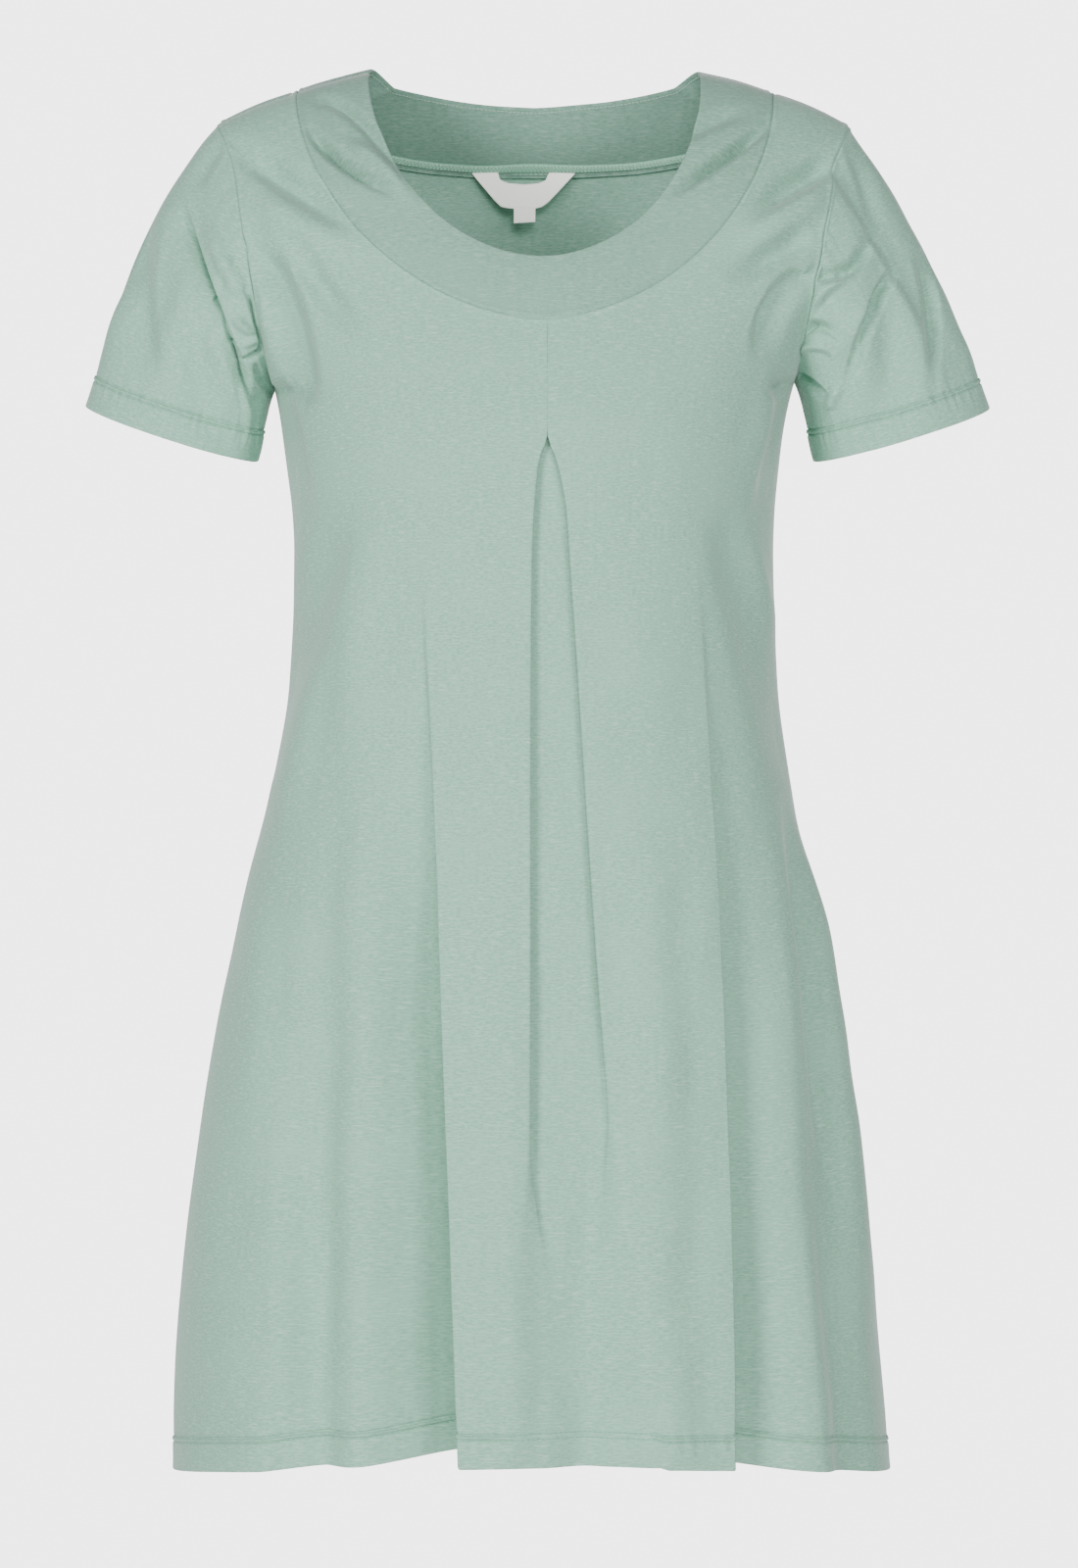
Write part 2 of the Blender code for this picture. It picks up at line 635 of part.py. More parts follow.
def walled(pieces):
    """Outer and inner faces of each piece. Rims that meet at a seam are mitred, and each is set
    back by half the seam gap."""
    normals = [grid_normals(piece.rows, piece.closed, piece.face_out) for piece in pieces]
    walls = [wall_of(piece) for piece in pieces]
    edges = []
    for number, piece in enumerate(pieces):
        edges += [(number, index) for side in sides_of(piece) for index in border(piece.rows, side)[0]]
    tree = KDTree(len(edges))
    for i, (number, index) in enumerate(edges):
        tree.insert(pieces[number].rows[index], i)
    tree.balance()
    seam_steps = {}
    for number, index in edges:
        near = tree.find_range(pieces[number].rows[index], SAME_POINT)
        meeting = sorted({edges[other] for _, other, _ in near})
        if len({piece for piece, _ in meeting}) > 1:
            directions = [normals[piece][place] for piece, place in meeting]
            seam_steps[number, index] = mitre(directions, [walls[piece][place] for piece, place in meeting])
    shells = []
    for number, piece in enumerate(pieces):
        steps = normals[number] * walls[number][..., None]
        for seam_number, index in seam_steps:
            if seam_number == number:
                steps[index] = seam_steps[number, index]
        faces = (piece.rows, piece.rows - steps)
        moved = [face.copy() for face in faces]
        for side in sides_of(piece):
            line, beside = border(piece.rows, side)
            for i, (index, inward) in enumerate(zip(line, beside)):
                near = [line[k] for k in (i - 1, i + 1) if 0 <= k < len(line)]
                if (number, index) not in seam_steps or not any((number, k) in seam_steps for k in near):
                    continue
                for face, plain in zip(moved, faces):
                    step = plain[inward] - plain[index]
                    face[index] += step / np.linalg.norm(step) * SEAM_GAP / 2.0
        shells.append(moved)
    return shells


def cloth(piece, outer, inner):
    """A closed piece of cloth lofted between its outer and inner faces."""
    down, across = piece.rows.shape[:2]
    width = across - 1 if piece.closed else across
    work = bmesh.new()
    faces = []
    for rows in (outer, inner):
        faces.append([[work.verts.new(rows[r, c]) for c in range(width)] for r in range(down)])
    front, behind = faces
    for r in range(down - 1):
        for c in range(across - 1):
            d = (c + 1) % width
            falling = np.linalg.norm(outer[r, c] - outer[r + 1, d])
            rising = np.linalg.norm(outer[r + 1, c] - outer[r, d])
            corners = [(r, c), (r + 1, c), (r + 1, d), (r, d)]
            if rising < falling:
                corners = corners[1:] + corners[:1]
            for triangle in (corners[:3], [corners[0], corners[2], corners[3]]):
                work.faces.new([front[i][k] for i, k in triangle])
                work.faces.new([behind[i][k] for i, k in triangle[::-1]])
    for c in range(across - 1):
        d = (c + 1) % width
        work.faces.new((front[0][c], front[0][d], behind[0][d], behind[0][c]))
        work.faces.new((front[-1][d], front[-1][c], behind[-1][c], behind[-1][d]))
    if not piece.closed:
        for r in range(down - 1):
            work.faces.new((front[r + 1][0], front[r][0], behind[r][0], behind[r + 1][0]))
            work.faces.new((front[r][-1], front[r + 1][-1], behind[r + 1][-1], behind[r][-1]))
    if piece.face_out < 0:
        bmesh.ops.reverse_faces(work, faces=work.faces)
    mesh = bpy.data.meshes.new(piece.name)
    work.to_mesh(mesh)
    work.free()
    mesh.shade_smooth()
    mesh.set_sharp_from_angle(angle=math.radians(50.0))
    mesh.materials.append(piece.material)
    return bpy.data.objects.new(piece.name, mesh)


def plain_material(name, colour, roughness):
    """A Principled material in one colour."""
    material = bpy.data.materials.new(name)
    material.use_nodes = True
    shader = material.node_tree.nodes["Principled BSDF"]
    shader.inputs["Base Color"].default_value = colour
    shader.inputs["Roughness"].default_value = roughness
    shader.inputs["Metallic"].default_value = 0.0
    return material


def label_pieces(material):
    """The woven label and its size tab, hung inside the back from the band seam."""
    edge = angle_at(LABEL_X - LABEL_HALF_WIDTH, LABEL_TOP_Z)
    hang_y = body_point(edge, LABEL_TOP_Z, BACK)[1] - BAND_WALL - LABEL_CLEARANCE
    bottom = LABEL_TOP_Z - LABEL_DROP
    label = [(LABEL_X + LABEL_HALF_WIDTH * x, LABEL_TOP_Z + LABEL_DROP * z) for x, z in LABEL_OUTLINE]
    tab = [(LABEL_X + TAB_WIDTH * x, bottom - SEAM_GAP + TAB_DROP * z) for x, z in TAB_OUTLINE]
    pieces = []
    for name, points in (("neck_label", label), ("size_tab", tab)):
        curve = bpy.data.curves.new(name + "_outline", "CURVE")
        curve.dimensions = "2D"
        curve.fill_mode = "BOTH"
        curve.extrude = LABEL_WALL / 2.0
        spline = curve.splines.new("POLY")
        spline.points.add(len(points) - 1)
        for point, (x, z) in zip(spline.points, points):
            point.co = (x, z, 0.0, 1.0)
        spline.use_cyclic_u = True
        curve.materials.append(material)
        piece = bpy.data.objects.new(name, curve)
        piece.location = (0.0, hang_y, 0.0)
        piece.rotation_euler = (math.radians(90.0), 0.0, 0.0)
        pieces.append(piece)
    return pieces


def build():
    """Builds every piece of the dress."""
    clear_scene()
    dress = bpy.data.collections.new("mini_dress")
    bpy.context.scene.collection.children.link(dress)
    jersey = plain_material("mint_jersey", MINT, 0.85)
    label = plain_material("woven_label", LABEL_WHITE, 0.8)
    front = panel_grid(FRONT, FRONT_FOLDS)
    back = panel_grid(BACK, BACK_FOLDS)
    pieces = [
        Piece("front_panel", front, WALL, HEM_WALL, False, 1, jersey),
        Piece("back_panel", back, WALL, HEM_WALL, False, -1, jersey),
        Piece("front_neck_band", neck_band(FRONT), BAND_WALL, 0.0, False, 1, jersey),
        Piece("back_neck_band", neck_band(BACK), BAND_WALL, 0.0, False, -1, jersey),
    ]
    for sleeve, folds in zip(SLEEVES, (LEFT_SLEEVE_FOLDS, RIGHT_SLEEVE_FOLDS)):
        edge = 0 if sleeve.side == LEFT else -1
        rings = sleeve_rings(sleeve, folds, front[:YOKE_ROWS, edge], back[:YOKE_ROWS, edge])
        name = "left_sleeve" if sleeve.side == LEFT else "right_sleeve"
        pieces.append(Piece(name, rings, WALL, HEM_WALL, True, -sleeve.side, jersey))
    for piece, (outer, inner) in zip(pieces, walled(pieces)):
        dress.objects.link(cloth(piece, outer, inner))
    for piece in label_pieces(label):
        dress.objects.link(piece)


build()
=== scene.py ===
"""Looks of the mint jersey mini dress: the panels as thin cloth with their folds and creases, turned
hems with twin stitching, the doubled neck bands, and the bare woven label.

Metres, +Z up, the front faces -Y. The shapes repeat the named sizes of the part's own source, at a
finer grid. Apart from that the walls are thinner, the pleat is shallower and opens higher up, and
two folds in front slide behind their edges. Creases are placed where the photograph shows them, as
seen from its camera, in the upright plane through the side seams.
"""

import math
from collections import namedtuple

import bpy
import numpy as np
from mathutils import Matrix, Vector


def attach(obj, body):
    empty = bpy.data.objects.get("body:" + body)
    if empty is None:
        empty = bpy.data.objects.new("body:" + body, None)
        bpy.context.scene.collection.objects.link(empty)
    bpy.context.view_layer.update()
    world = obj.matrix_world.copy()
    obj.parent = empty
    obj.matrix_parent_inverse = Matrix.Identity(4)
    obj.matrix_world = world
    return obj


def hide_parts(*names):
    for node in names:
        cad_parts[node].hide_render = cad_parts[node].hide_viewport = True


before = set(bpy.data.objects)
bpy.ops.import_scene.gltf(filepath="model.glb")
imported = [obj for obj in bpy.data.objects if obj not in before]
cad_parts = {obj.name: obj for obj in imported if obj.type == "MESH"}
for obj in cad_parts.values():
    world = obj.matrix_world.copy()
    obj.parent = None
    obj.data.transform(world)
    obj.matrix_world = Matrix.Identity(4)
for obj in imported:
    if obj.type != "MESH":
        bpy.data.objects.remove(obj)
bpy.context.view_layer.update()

FRONT = -1
BACK = 1
LEFT = -1
RIGHT = 1

# Camera of the photograph, level with the middle of the dress
CAMERA_X = 0.003
CAMERA_Z = -0.444
CAMERA_DISTANCE = 2.6
PICTURE_HEIGHT = 0.979

# Studio
FLOOR_Z = -1.45
FLOOR_RADIUS = 1.9
PAPER_LIGHT = 4.1
BACKDROP_LIGHT = 1.9
WALL_LIGHT = 0.16
CEILING_SHARE = 0.12
Softbox = namedtuple("Softbox", "name x y z width height power")
LIGHTS = (
    Softbox("key_left", -1.75, -2.50, -0.05, 1.0, 1.2, 86.0),
    Softbox("key_right", 1.50, -2.65, -0.15, 1.1, 1.3, 48.0),
    Softbox("front", 0.20, -3.10, 0.50, 0.8, 0.8, 46.0),
)

# Cloth
CLOTH_GIRTH = 0.19
BAND_WALL = 0.0020
BAND_PROUD = 0.0002
FRONT_BAND_SLACK = 0.0004
BACK_BAND_SLACK = 0.0045
BACK_BAND_LAP = 0.0025
BACK_BAND_LAP_OUT = 0.0003
HEM_HEIGHT = 0.0180
HEM_ROLL = 0.0007
SEAM_ALLOWANCE = 0.0030
CROWDING = 1.7
YOKE_CROWDING = 1.25
SLEEVE_CROWDING = 1.15

# Relief of seams: a ditch at the seam and a ridge beside it
SEAM_DITCH = 0.00046
SEAM_DITCH_REACH = 0.0006
SEAM_RIDGE = 0.00040
SEAM_RIDGE_AWAY = 0.0018
SEAM_RIDGE_REACH = 0.0013
SIDE_SEAM_STRENGTH = 0.55
BAND_END_STRENGTH = 0.8
BAND_PUFF = 0.0009

# Relief of hems: a ditch under each row of stitches, a ridge between them, puckers, and a step
HEM_DITCH = 0.00095
HEM_DITCH_REACH = 0.00065
HEM_RIDGE = 0.00038
HEM_RIDGE_REACH = 0.0009
HEM_STEP = 0.00045
PUCKER_HEIGHT = 0.00024
PUCKER_REACH = 0.0075
PUCKER_TURNS = (520.0, 91.0, 857.0)
HEM_STEP_REACH = 0.0012
HEM_STEP_END = 0.032
HEM_STEP_FADE = 0.012

# Shoulders and side seams
SEAM_Y = 0.006
SHOULDER_ROUND = 0.090
SHOULDER_ROLL = 0.028
SHOULDER_ROLL_DROP = 0.050
LEFT_ROLL_HEIGHT = 0.0062
RIGHT_ROLL_HEIGHT = 0.0045
FRONT_SQUARENESS = 2.4
BACK_SQUARENESS = 2.6
UNDERARM_Z = -0.196
HEM_SIDE_Z = -0.870
HEM_FRONT_LIFT = 0.026
HEM_BACK_LIFT = 0.010
FOLD_HEM_LIFT = 0.22
FOLD_FADE = 0.35
CREASE_FADE = 0.22

# Neck
NECK_HALF_WIDTH = 0.104
FRONT_NECK_DEPTH = 0.127
FRONT_NECK_SHAPE = 1.95
BACK_NECK_DEPTH = 0.0125
BACK_NECK_SHAPE = 1.4
BAND_HALF_WIDTH = 0.148
BAND_END_Z = -0.0125
FRONT_BAND_DEPTH = 0.153
FRONT_BAND_SHAPE = 1.83
BACK_BAND_DEPTH = 0.038
BACK_BAND_SHAPE = 2.5
NECK_SWAY = 0.005

# Centre front pleat
PLEAT_X = 0.008
PLEAT_SLIT = 0.00004
PLEAT_INTAKE = 0.088
PLEAT_ROUND = 0.00150
PLEAT_SEWN_ROUND = 0.00009
PLEAT_APEX_Z = -0.2400
PLEAT_LAYER_GAP = 0.0014


def table(kind, rows):
    """Rows of numbers with their names."""
    return tuple(kind(*row) for row in rows)


# Sections of the body: half widths to the side seams, and depth in front and behind
Section = namedtuple("Section", "z left right front back")
SECTIONS = table(Section, (
    (0.030, 0.240, 0.240, 0.060, 0.056),
    (-0.035, 0.230, 0.230, 0.072, 0.078),
    (-0.065, 0.2185, 0.2185, 0.081, 0.090),
    (-0.100, 0.2130, 0.2130, 0.094, 0.099),
    (-0.137, 0.1945, 0.1945, 0.109, 0.104),
    (-0.172, 0.1730, 0.1720, 0.122, 0.105),
    (-0.196, 0.1625, 0.1615, 0.130, 0.104),
    (-0.235, 0.1560, 0.1540, 0.139, 0.101),
    (-0.300, 0.1495, 0.1490, 0.145, 0.100),
    (-0.382, 0.1530, 0.1520, 0.149, 0.106),
    (-0.443, 0.1630, 0.1600, 0.153, 0.113),
    (-0.504, 0.1785, 0.1700, 0.157, 0.121),
    (-0.565, 0.1915, 0.1810, 0.160, 0.128),
    (-0.626, 0.2030, 0.1905, 0.163, 0.135),
    (-0.687, 0.2120, 0.2010, 0.166, 0.141),
    (-0.748, 0.2195, 0.2105, 0.169, 0.146),
    (-0.809, 0.2240, 0.2165, 0.171, 0.150),
    (-0.880, 0.2255, 0.2230, 0.173, 0.153),
))

Armhole = namedtuple("Armhole", "z half_width")
ARMHOLE = table(Armhole, (
    (-0.0325, 0.1970),
    (-0.0640, 0.1855),
    (-0.1015, 0.1790),
    (-0.1370, 0.1726),
    (-0.1720, 0.1656),
    (-0.1960, 0.1625),
))

Shoulder = namedtuple("Shoulder", "x z")
SHOULDER = table(Shoulder, (
    (0.000, 0.022),
    (0.060, 0.014),
    (0.104, 0.000),
    (0.148, -0.0125),
    (0.172, -0.0203),
    (0.197, -0.0325),
    (0.240, -0.0620),
))

Opening = namedtuple("Opening", "z left right depth openness")
PLEAT = table(Opening, (
    (-0.150, 0.0000, 0.0000, 0.0000, 0.00),
    (-0.2390, 0.0000, 0.0000, 0.0000, 0.00),
    (-0.2475, 0.0036, 0.0038, 0.0006, 0.00),
    (-0.2610, 0.0058, 0.0074, 0.0010, 0.00),
    (-0.2830, 0.0076, 0.0112, 0.0015, 0.00),
    (-0.3120, 0.0088, 0.0132, 0.0018, 0.00),
    (-0.3800, 0.0094, 0.0180, 0.0024, 0.02),
    (-0.4600, 0.0097, 0.0232, 0.0030, 0.06),
    (-0.5600, 0.0098, 0.0305, 0.0040, 0.14),
    (-0.6400, 0.0106, 0.0385, 0.0046, 0.34),
    (-0.6900, 0.0132, 0.0440, 0.0050, 0.66),
    (-0.7400, 0.0175, 0.0500, 0.0052, 0.98),
    (-0.7600, 0.0185, 0.0525, 0.0052, 1.00),
    (-0.8700, 0.0200, 0.0700, 0.0052, 1.00),
))

# Soft folds of the skirt. The undercut slides a fold's floor sideways, behind its sharp edge.
FOLD_FIELDS = "top_x top_z hem_x bow depth left_reach right_reach undercut"
Fold = namedtuple("Fold", FOLD_FIELDS, defaults=(0.0,))
FRONT_FOLDS = table(Fold, (
    (-0.070, -0.290, -0.0515, 0.000, 0.036, 0.074, 0.0085, 0.012),
    (0.100, -0.300, 0.1270, 0.005, 0.024, 0.0075, 0.048, -0.010),
    (-0.118, -0.380, -0.1350, 0.000, 0.012, 0.030, 0.034),
    (0.150, -0.420, 0.1960, 0.000, 0.010, 0.022, 0.016),
    (0.045, -0.560, 0.0330, 0.000, 0.006, 0.030, 0.036),
))
BACK_FOLDS = table(Fold, (
    (-0.085, -0.330, -0.1180, 0.000, 0.026, 0.040, 0.030),
    (-0.012, -0.380, -0.0250, 0.004, 0.022, 0.034, 0.040),
    (0.078, -0.300, 0.0960, -0.004, 0.029, 0.036, 0.028),
    (0.030, -0.460, 0.0420, 0.000, -0.010, 0.026, 0.026),
    (0.148, -0.400, 0.1980, 0.000, -0.012, 0.030, 0.022),
    (-0.150, -0.450, -0.1950, 0.000, -0.008, 0.030, 0.022),
))

Sleeve = namedtuple("Sleeve", "side outer_x outer_z inner_x inner_z half_depth front_drop spread level")
SLEEVES = table(Sleeve, (
    (LEFT, 0.2810, -0.2065, 0.1728, -0.2415, 0.043, 0.007, 0.22, 0.26),
    (RIGHT, 0.2850, -0.2080, 0.1745, -0.2415, 0.043, 0.007, 0.10, 0.14),
))
SLEEVE_AXIS_LEAN = 0.315
SLEEVE_SEAM_FADE = 0.0045
UNDERARM_SPREAD = 0.50
SLEEVE_FOLD_LENGTH = 0.28
SLEEVE_RIPPLE = 0.6
GATHER_HEIGHT = 0.00016
GATHERS_PER_METRE = 62.0
GATHER_REACH = 0.020

# Large folds of the sleeves, by their place round the sleeve in degrees from the shoulder seam
SleeveFold = namedtuple("SleeveFold", "armhole cuff depth reach strongest")
SLEEVE_FOLDS = {
    LEFT: table(SleeveFold, (
        (62.0, 122.0, 0.0060, 26.0, 0.62),
        (40.0, 58.0, 0.0035, 24.0, 0.60),
        (-70.0, -95.0, 0.0050, 30.0, 0.55),
    )),
    RIGHT: table(SleeveFold, (
        (40.0, 104.0, 0.0055, 26.0, 0.60),
        (28.0, 44.0, 0.0035, 22.0, 0.55),
        (-64.0, -90.0, 0.0050, 30.0, 0.55),
    )),
}

# Creases, in millimetres: start, middle and end as seen by the camera, depth (a ridge is
# negative), reach to the left and right of the line as it runs, and strength at its two ends
MM = 0.001
Crease = namedtuple("Crease", "x0 z0 x1 z1 x2 z2 depth left right head tail")
FRONT_CREASES = table(Crease, (
    # drag folds that cross the neck band and the yoke on the left
    (-140, -36, -119, -58, -80, -80, 10.4, 7, 5, 0.2, 0.0),
    (-134, -19, -110, -30, -73, -78, 5.5, 7, 6, 0.3, 0.0),
    (-118, -46, -95, -59, -70, -90, -4.9, 8, 8, 0.2, 0.0),
    (-181, -51, -150, -72, -108, -99, 10.4, 16, 11, 0.3, 0.0),
    (-173, -74, -144, -96, -101, -114, -5.5, 14, 16, 0.3, 0.0),
    (-176, -107, -159, -145, -149, -194, 12.5, 18, 9, 0.3, 1.0),
    (-171, -138, -164, -168, -162, -193, -3.8, 6, 6, 0.2, 0.6),
    (-150, -107, -132, -138, -107, -165, 7.0, 14, 11, 0.1, 0.0),
    (-165, -198, -155, -197, -136, -200, 7.2, 3, 8, 1.0, 0.0),
    (-156, -205, -149, -242, -139, -285, 6.4, 9, 14, 0.8, 0.1),
    # the same on the right
    (146, -34, 116, -56, 80, -80, 10.4, 5, 8, 0.3, 0.0),
    (132, -26, 108, -32, 89, -46, 4.2, 8, 8, 0.3, 0.0),
    (190, -56, 165, -69, 124, -96, 10.4, 10, 15, 0.3, 0.0),
    (187, -70, 156, -90, 124, -108, -4.5, 14, 14, 0.3, 0.0),
    (176, -99, 151, -114, 116, -132, 7.5, 11, 14, 0.3, 0.0),
    (165, -127, 147, -147, 139, -183, 9.6, 16, 8, 0.6, 0.0),
    (150, -193, 143, -223, 129, -260, -3.2, 12, 14, 0.4, 0.0),
    (159, -194, 151, -196, 138, -201, 4.8, 7, 4, 1.0, 0.0),
    (155, -199, 150, -242, 135, -297, 5.8, 12, 10, 0.8, 0.0),
    # long soft folds of the left side
    (-122, -269, -140, -337, -163, -430, 6.5, 20, 16, 0.0, 0.3),
    (-94, -260, -112, -346, -118, -419, -3.9, 22, 20, 0.0, 0.2),
    (-132, -346, -150, -431, -162, -505, -3.9, 16, 18, 0.1, 0.1),
    (-144, -560, -150, -720, -140, -864, 6.0, 40, 15, 0.0, 1.0),
    (-173, -505, -173, -578, -177, -688, -3.4, 16, 18, 0.1, 0.2),
    (-66, -470, -63, -650, -60, -868, 3.6, 6, 44, 0.0, 1.0),
    (-106, -419, -103, -566, -106, -737, -3.6, 26, 24, 0.0, 0.0),
    # long soft folds of the right side
    (118, -269, 134, -336, 158, -430, 6.0, 14, 20, 0.0, 0.4),
    (135, -288, 145, -326, 151, -360, -2.1, 5, 7, 0.0, 0.0),
    (163, -450, 186, -605, 217, -815, -11.0, 18, 9, 0.0, 0.0),
    (155, -440, 175, -600, 206, -800, 3.2, 7, 5, 0.0, 0.0),
    (150, -420, 169, -600, 198, -800, -2.4, 6, 14, 0.0, 0.0),
    (70, -431, 75, -597, 86, -860, -4.7, 26, 30, 0.0, 0.8),
    (-20, -517, -18, -676, -15, -860, -3.9, 20, 22, 0.0, 0.8),
    # small crumples above the hem
    (-165, -836, -160, -852, -163, -875, 2.4, 8, 7, 0.0, 1.0),
    (-146, -836, -144, -852, -148, -875, -2.4, 7, 8, 0.0, 1.0),
    (142, -820, 144, -845, 145, -875, -2.6, 10, 12, 0.0, 1.0),
    (46, -823, 47, -845, 46, -875, -1.9, 14, 14, 0.0, 1.0),
))
BACK_CREASES = table(Crease, (
    (-170, -70, -135, -90, -95, -100, 5.0, 12, 15, 0.5, 0.0),
    (-165, -140, -135, -162, -100, -175, 4.5, 13, 15, 0.6, 0.0),
    (-158, -196, -140, -205, -108, -212, 3.6, 8, 12, 0.9, 0.0),
    (169, -76, 139, -98, 104, -108, 4.6, 12, 14, 0.5, 0.0),
    (164, -150, 132, -176, 105, -194, 4.4, 14, 12, 0.6, 0.0),
    (158, -198, 140, -210, 110, -222, 3.4, 8, 12, 0.9, 0.0),
    (-20, -90, 5, -160, 0, -240, 2.6, 30, 30, 0.2, 0.0),
    (-130, -250, -95, -285, -50, -305, 4.2, 18, 14, 0.2, 0.0),
    (135, -260, 100, -300, 55, -325, 4.2, 14, 18, 0.2, 0.0),
    (-90, -300, -50, -322, 0, -330, -2.2, 16, 16, 0.1, 0.0),
    (-60, -430, -68, -620, -72, -860, -6.0, 24, 22, 0.0, 0.9),
    (15, -520, 12, -700, 10, -860, -5.0, 20, 22, 0.0, 0.9),
    (126, -480, 140, -660, 148, -860, 6.0, 18, 16, 0.0, 0.9),
    (-150, -520, -162, -690, -170, -860, 5.5, 16, 18, 0.0, 0.9),
    (-100, -820, -98, -845, -96, -875, 2.6, 10, 12, 0.0, 1.0),
    (70, -815, 72, -845, 71, -875, 2.6, 12, 10, 0.0, 1.0),
))
SLEEVE_CREASES = {
    (LEFT, FRONT): table(Crease, (
        (-220, -81, -207, -122, -189, -168, 8.0, 2.8, 15, 0.1, 0.5),
        (-221, -84, -208, -124, -190, -168, 5.5, 2.1, 2.4, 0.1, 0.5),
        (-190, -168, -182, -187, -174, -217, 5.0, 2.1, 2.4, 0.5, 0.1),
        (-189, -168, -181, -187, -173, -217, 6.0, 2.8, 10, 0.5, 0.1),
        (-205, -90, -192, -122, -179, -142, -5.0, 9, 8, 0.1, 0.2),
        (-240, -88, -246, -144, -234, -201, 7.0, 12, 16, 0.0, 0.1),
        (-256, -107, -263, -150, -268, -190, -3.0, 10, 12, 0.0, 0.2),
        (-180, -136, -174, -152, -170, -172, 7.0, 5, 3.0, 0.2, 0.8),
        (-188, -151, -181, -159, -173, -162, -4.0, 5, 5, 0.3, 0.2),
        (-183, -181, -177, -178, -170, -174, 5.5, 3.5, 2.5, 0.3, 1.0),
        (-182, -170, -177, -168, -171, -166, -3.0, 4, 4, 0.3, 0.6),
        (-173, -184, -170, -193, -165, -200, 6.0, 3.0, 4, 0.6, 0.8),
        (-173, -199, -172, -214, -174, -238, 5.5, 4, 5, 0.4, 0.2),
        (-183, -192, -179, -207, -179, -230, -3.0, 5, 5, 0.3, 0.3),
        (-195, -45, -205, -57, -214, -81, 3.5, 8, 9, 0.4, 0.0),
    )),
    (LEFT, BACK): table(Crease, (
        (-215, -90, -204, -140, -186, -190, 8.0, 10, 8, 0.1, 0.1),
        (-242, -100, -244, -145, -238, -190, 5.0, 11, 13, 0.0, 0.2),
        (-173, -160, -185, -178, -198, -186, 5.5, 6, 7, 0.9, 0.0),
        (-170, -185, -178, -205, -184, -225, 4.5, 6, 6, 0.8, 0.0),
    )),
    (RIGHT, FRONT): table(Crease, (
        (227, -122, 211, -148, 192, -206, 8.0, 7, 5.0, 0.0, 0.0),
        (214, -140, 200, -158, 190, -176, -3.0, 9, 9, 0.1, 0.1),
        (239, -107, 249, -145, 250, -205, 6.5, 5.0, 9, 0.0, 0.1),
        (210, -103, 199, -124, 172, -128, 7.0, 3.5, 10, 0.2, 0.7),
        (196, -128, 178, -139, 160, -168, -5.0, 6, 7, 0.3, 0.3),
        (157, -184, 171, -160, 199, -172, 8.5, 7, 3.5, 0.9, 0.0),
        (160, -180, 176, -170, 192, -180, -4.0, 5, 5, 0.6, 0.1),
        (159, -186, 170, -191, 185, -204, 8.0, 2.6, 8, 1.0, 0.0),
        (163, -194, 168, -214, 170, -236, 6.0, 5, 6, 0.8, 0.2),
        (185, -212, 187, -202, 192, -193, -4.0, 6, 6, 0.2, 0.1),
        (266, -138, 273, -162, 277, -189, -3.0, 10, 10, 0.0, 0.2),
        (198, -47, 207, -70, 215, -105, 3.5, 9, 8, 0.4, 0.0),
    )),
    (RIGHT, BACK): table(Crease, (
        (218, -95, 206, -145, 190, -195, 8.0, 8, 11, 0.1, 0.1),
        (244, -105, 248, -150, 244, -190, 5.0, 12, 10, 0.0, 0.2),
        (172, -155, 184, -175, 198, -185, 5.5, 7, 6, 0.9, 0.0),
        (170, -180, 180, -202, 186, -225, 4.5, 6, 6, 0.8, 0.0),
    )),
}

# Wavy unevenness of hanging jersey: waves per metre across and down, height and phase
Ripple = namedtuple("Ripple", "across down height phase")
RIPPLES = table(Ripple, (
    (9.0, 1.6, 0.00055, 0.4),
    (-14.0, 3.1, 0.00042, 2.1),
    (22.0, 5.3, 0.00026, 4.4),
    (-31.0, 8.7, 0.00016, 1.3),
    (12.0, -17.0, 0.00014, 5.2),
))
YOKE_RIPPLE = 0.45
SKIRT_RIPPLE = 1.20

# Hem rows, as heights above its edge: close together at the stitching
HEM_ROWS = np.concatenate(
    [np.linspace(0.0270, 0.0210, 4), np.linspace(0.0207, 0.0153, 19), np.linspace(0.0140, 0.0, 9)]
)

# Stitches
STITCH_LENGTH = 0.0027
STITCH_GAP = 0.0005
THREAD_RADIUS = 0.00030
STITCH_ROWS = (0.0165, 0.0197)
STITCH_SIDES = 5
OVERLOCK_WIDTH = 0.0088
OVERLOCK_PITCH = 0.0024
NECK_EDGE_ROW = 0.0020
OVERLOCK_START = 0.0006
OVERLOCK_WALL = 0.0004
OVERLOCK_PUFF = 0.0008
OVERLOCK_THREAD_RISE = 0.0003

# Label inside the back neck
LABEL_X = -0.007
LABEL_HALF_WIDTH = 0.033
LABEL_TOP_Z = -0.0500
LABEL_DROP = 0.0235
LABEL_WALL = 0.0005
LABEL_CURL = 0.0035
TAB_WIDTH = 0.0138
TAB_DROP = 0.0095
LABEL_GAP = 0.0022
LABEL_LEAN = 0.05
LABEL_WAVE = 0.0006

# Outlines of the label, in half widths and drops from the middle of its top edge
LABEL_TOP = (
    (-1.0, -0.02), (-0.50, 0.0), (-0.46, -0.20), (-0.30, -0.29), (0.02, -0.33),
    (0.30, -0.29), (0.45, -0.20), (0.48, 0.0), (1.0, -0.02),
)
LABEL_BOTTOM = (
    (-1.0, -0.04), (-0.55, -0.80), (-0.44, -0.95), (-0.28, -1.0),
    (0.22, -1.0), (0.36, -0.95), (0.50, -0.80), (1.0, -0.04),
)

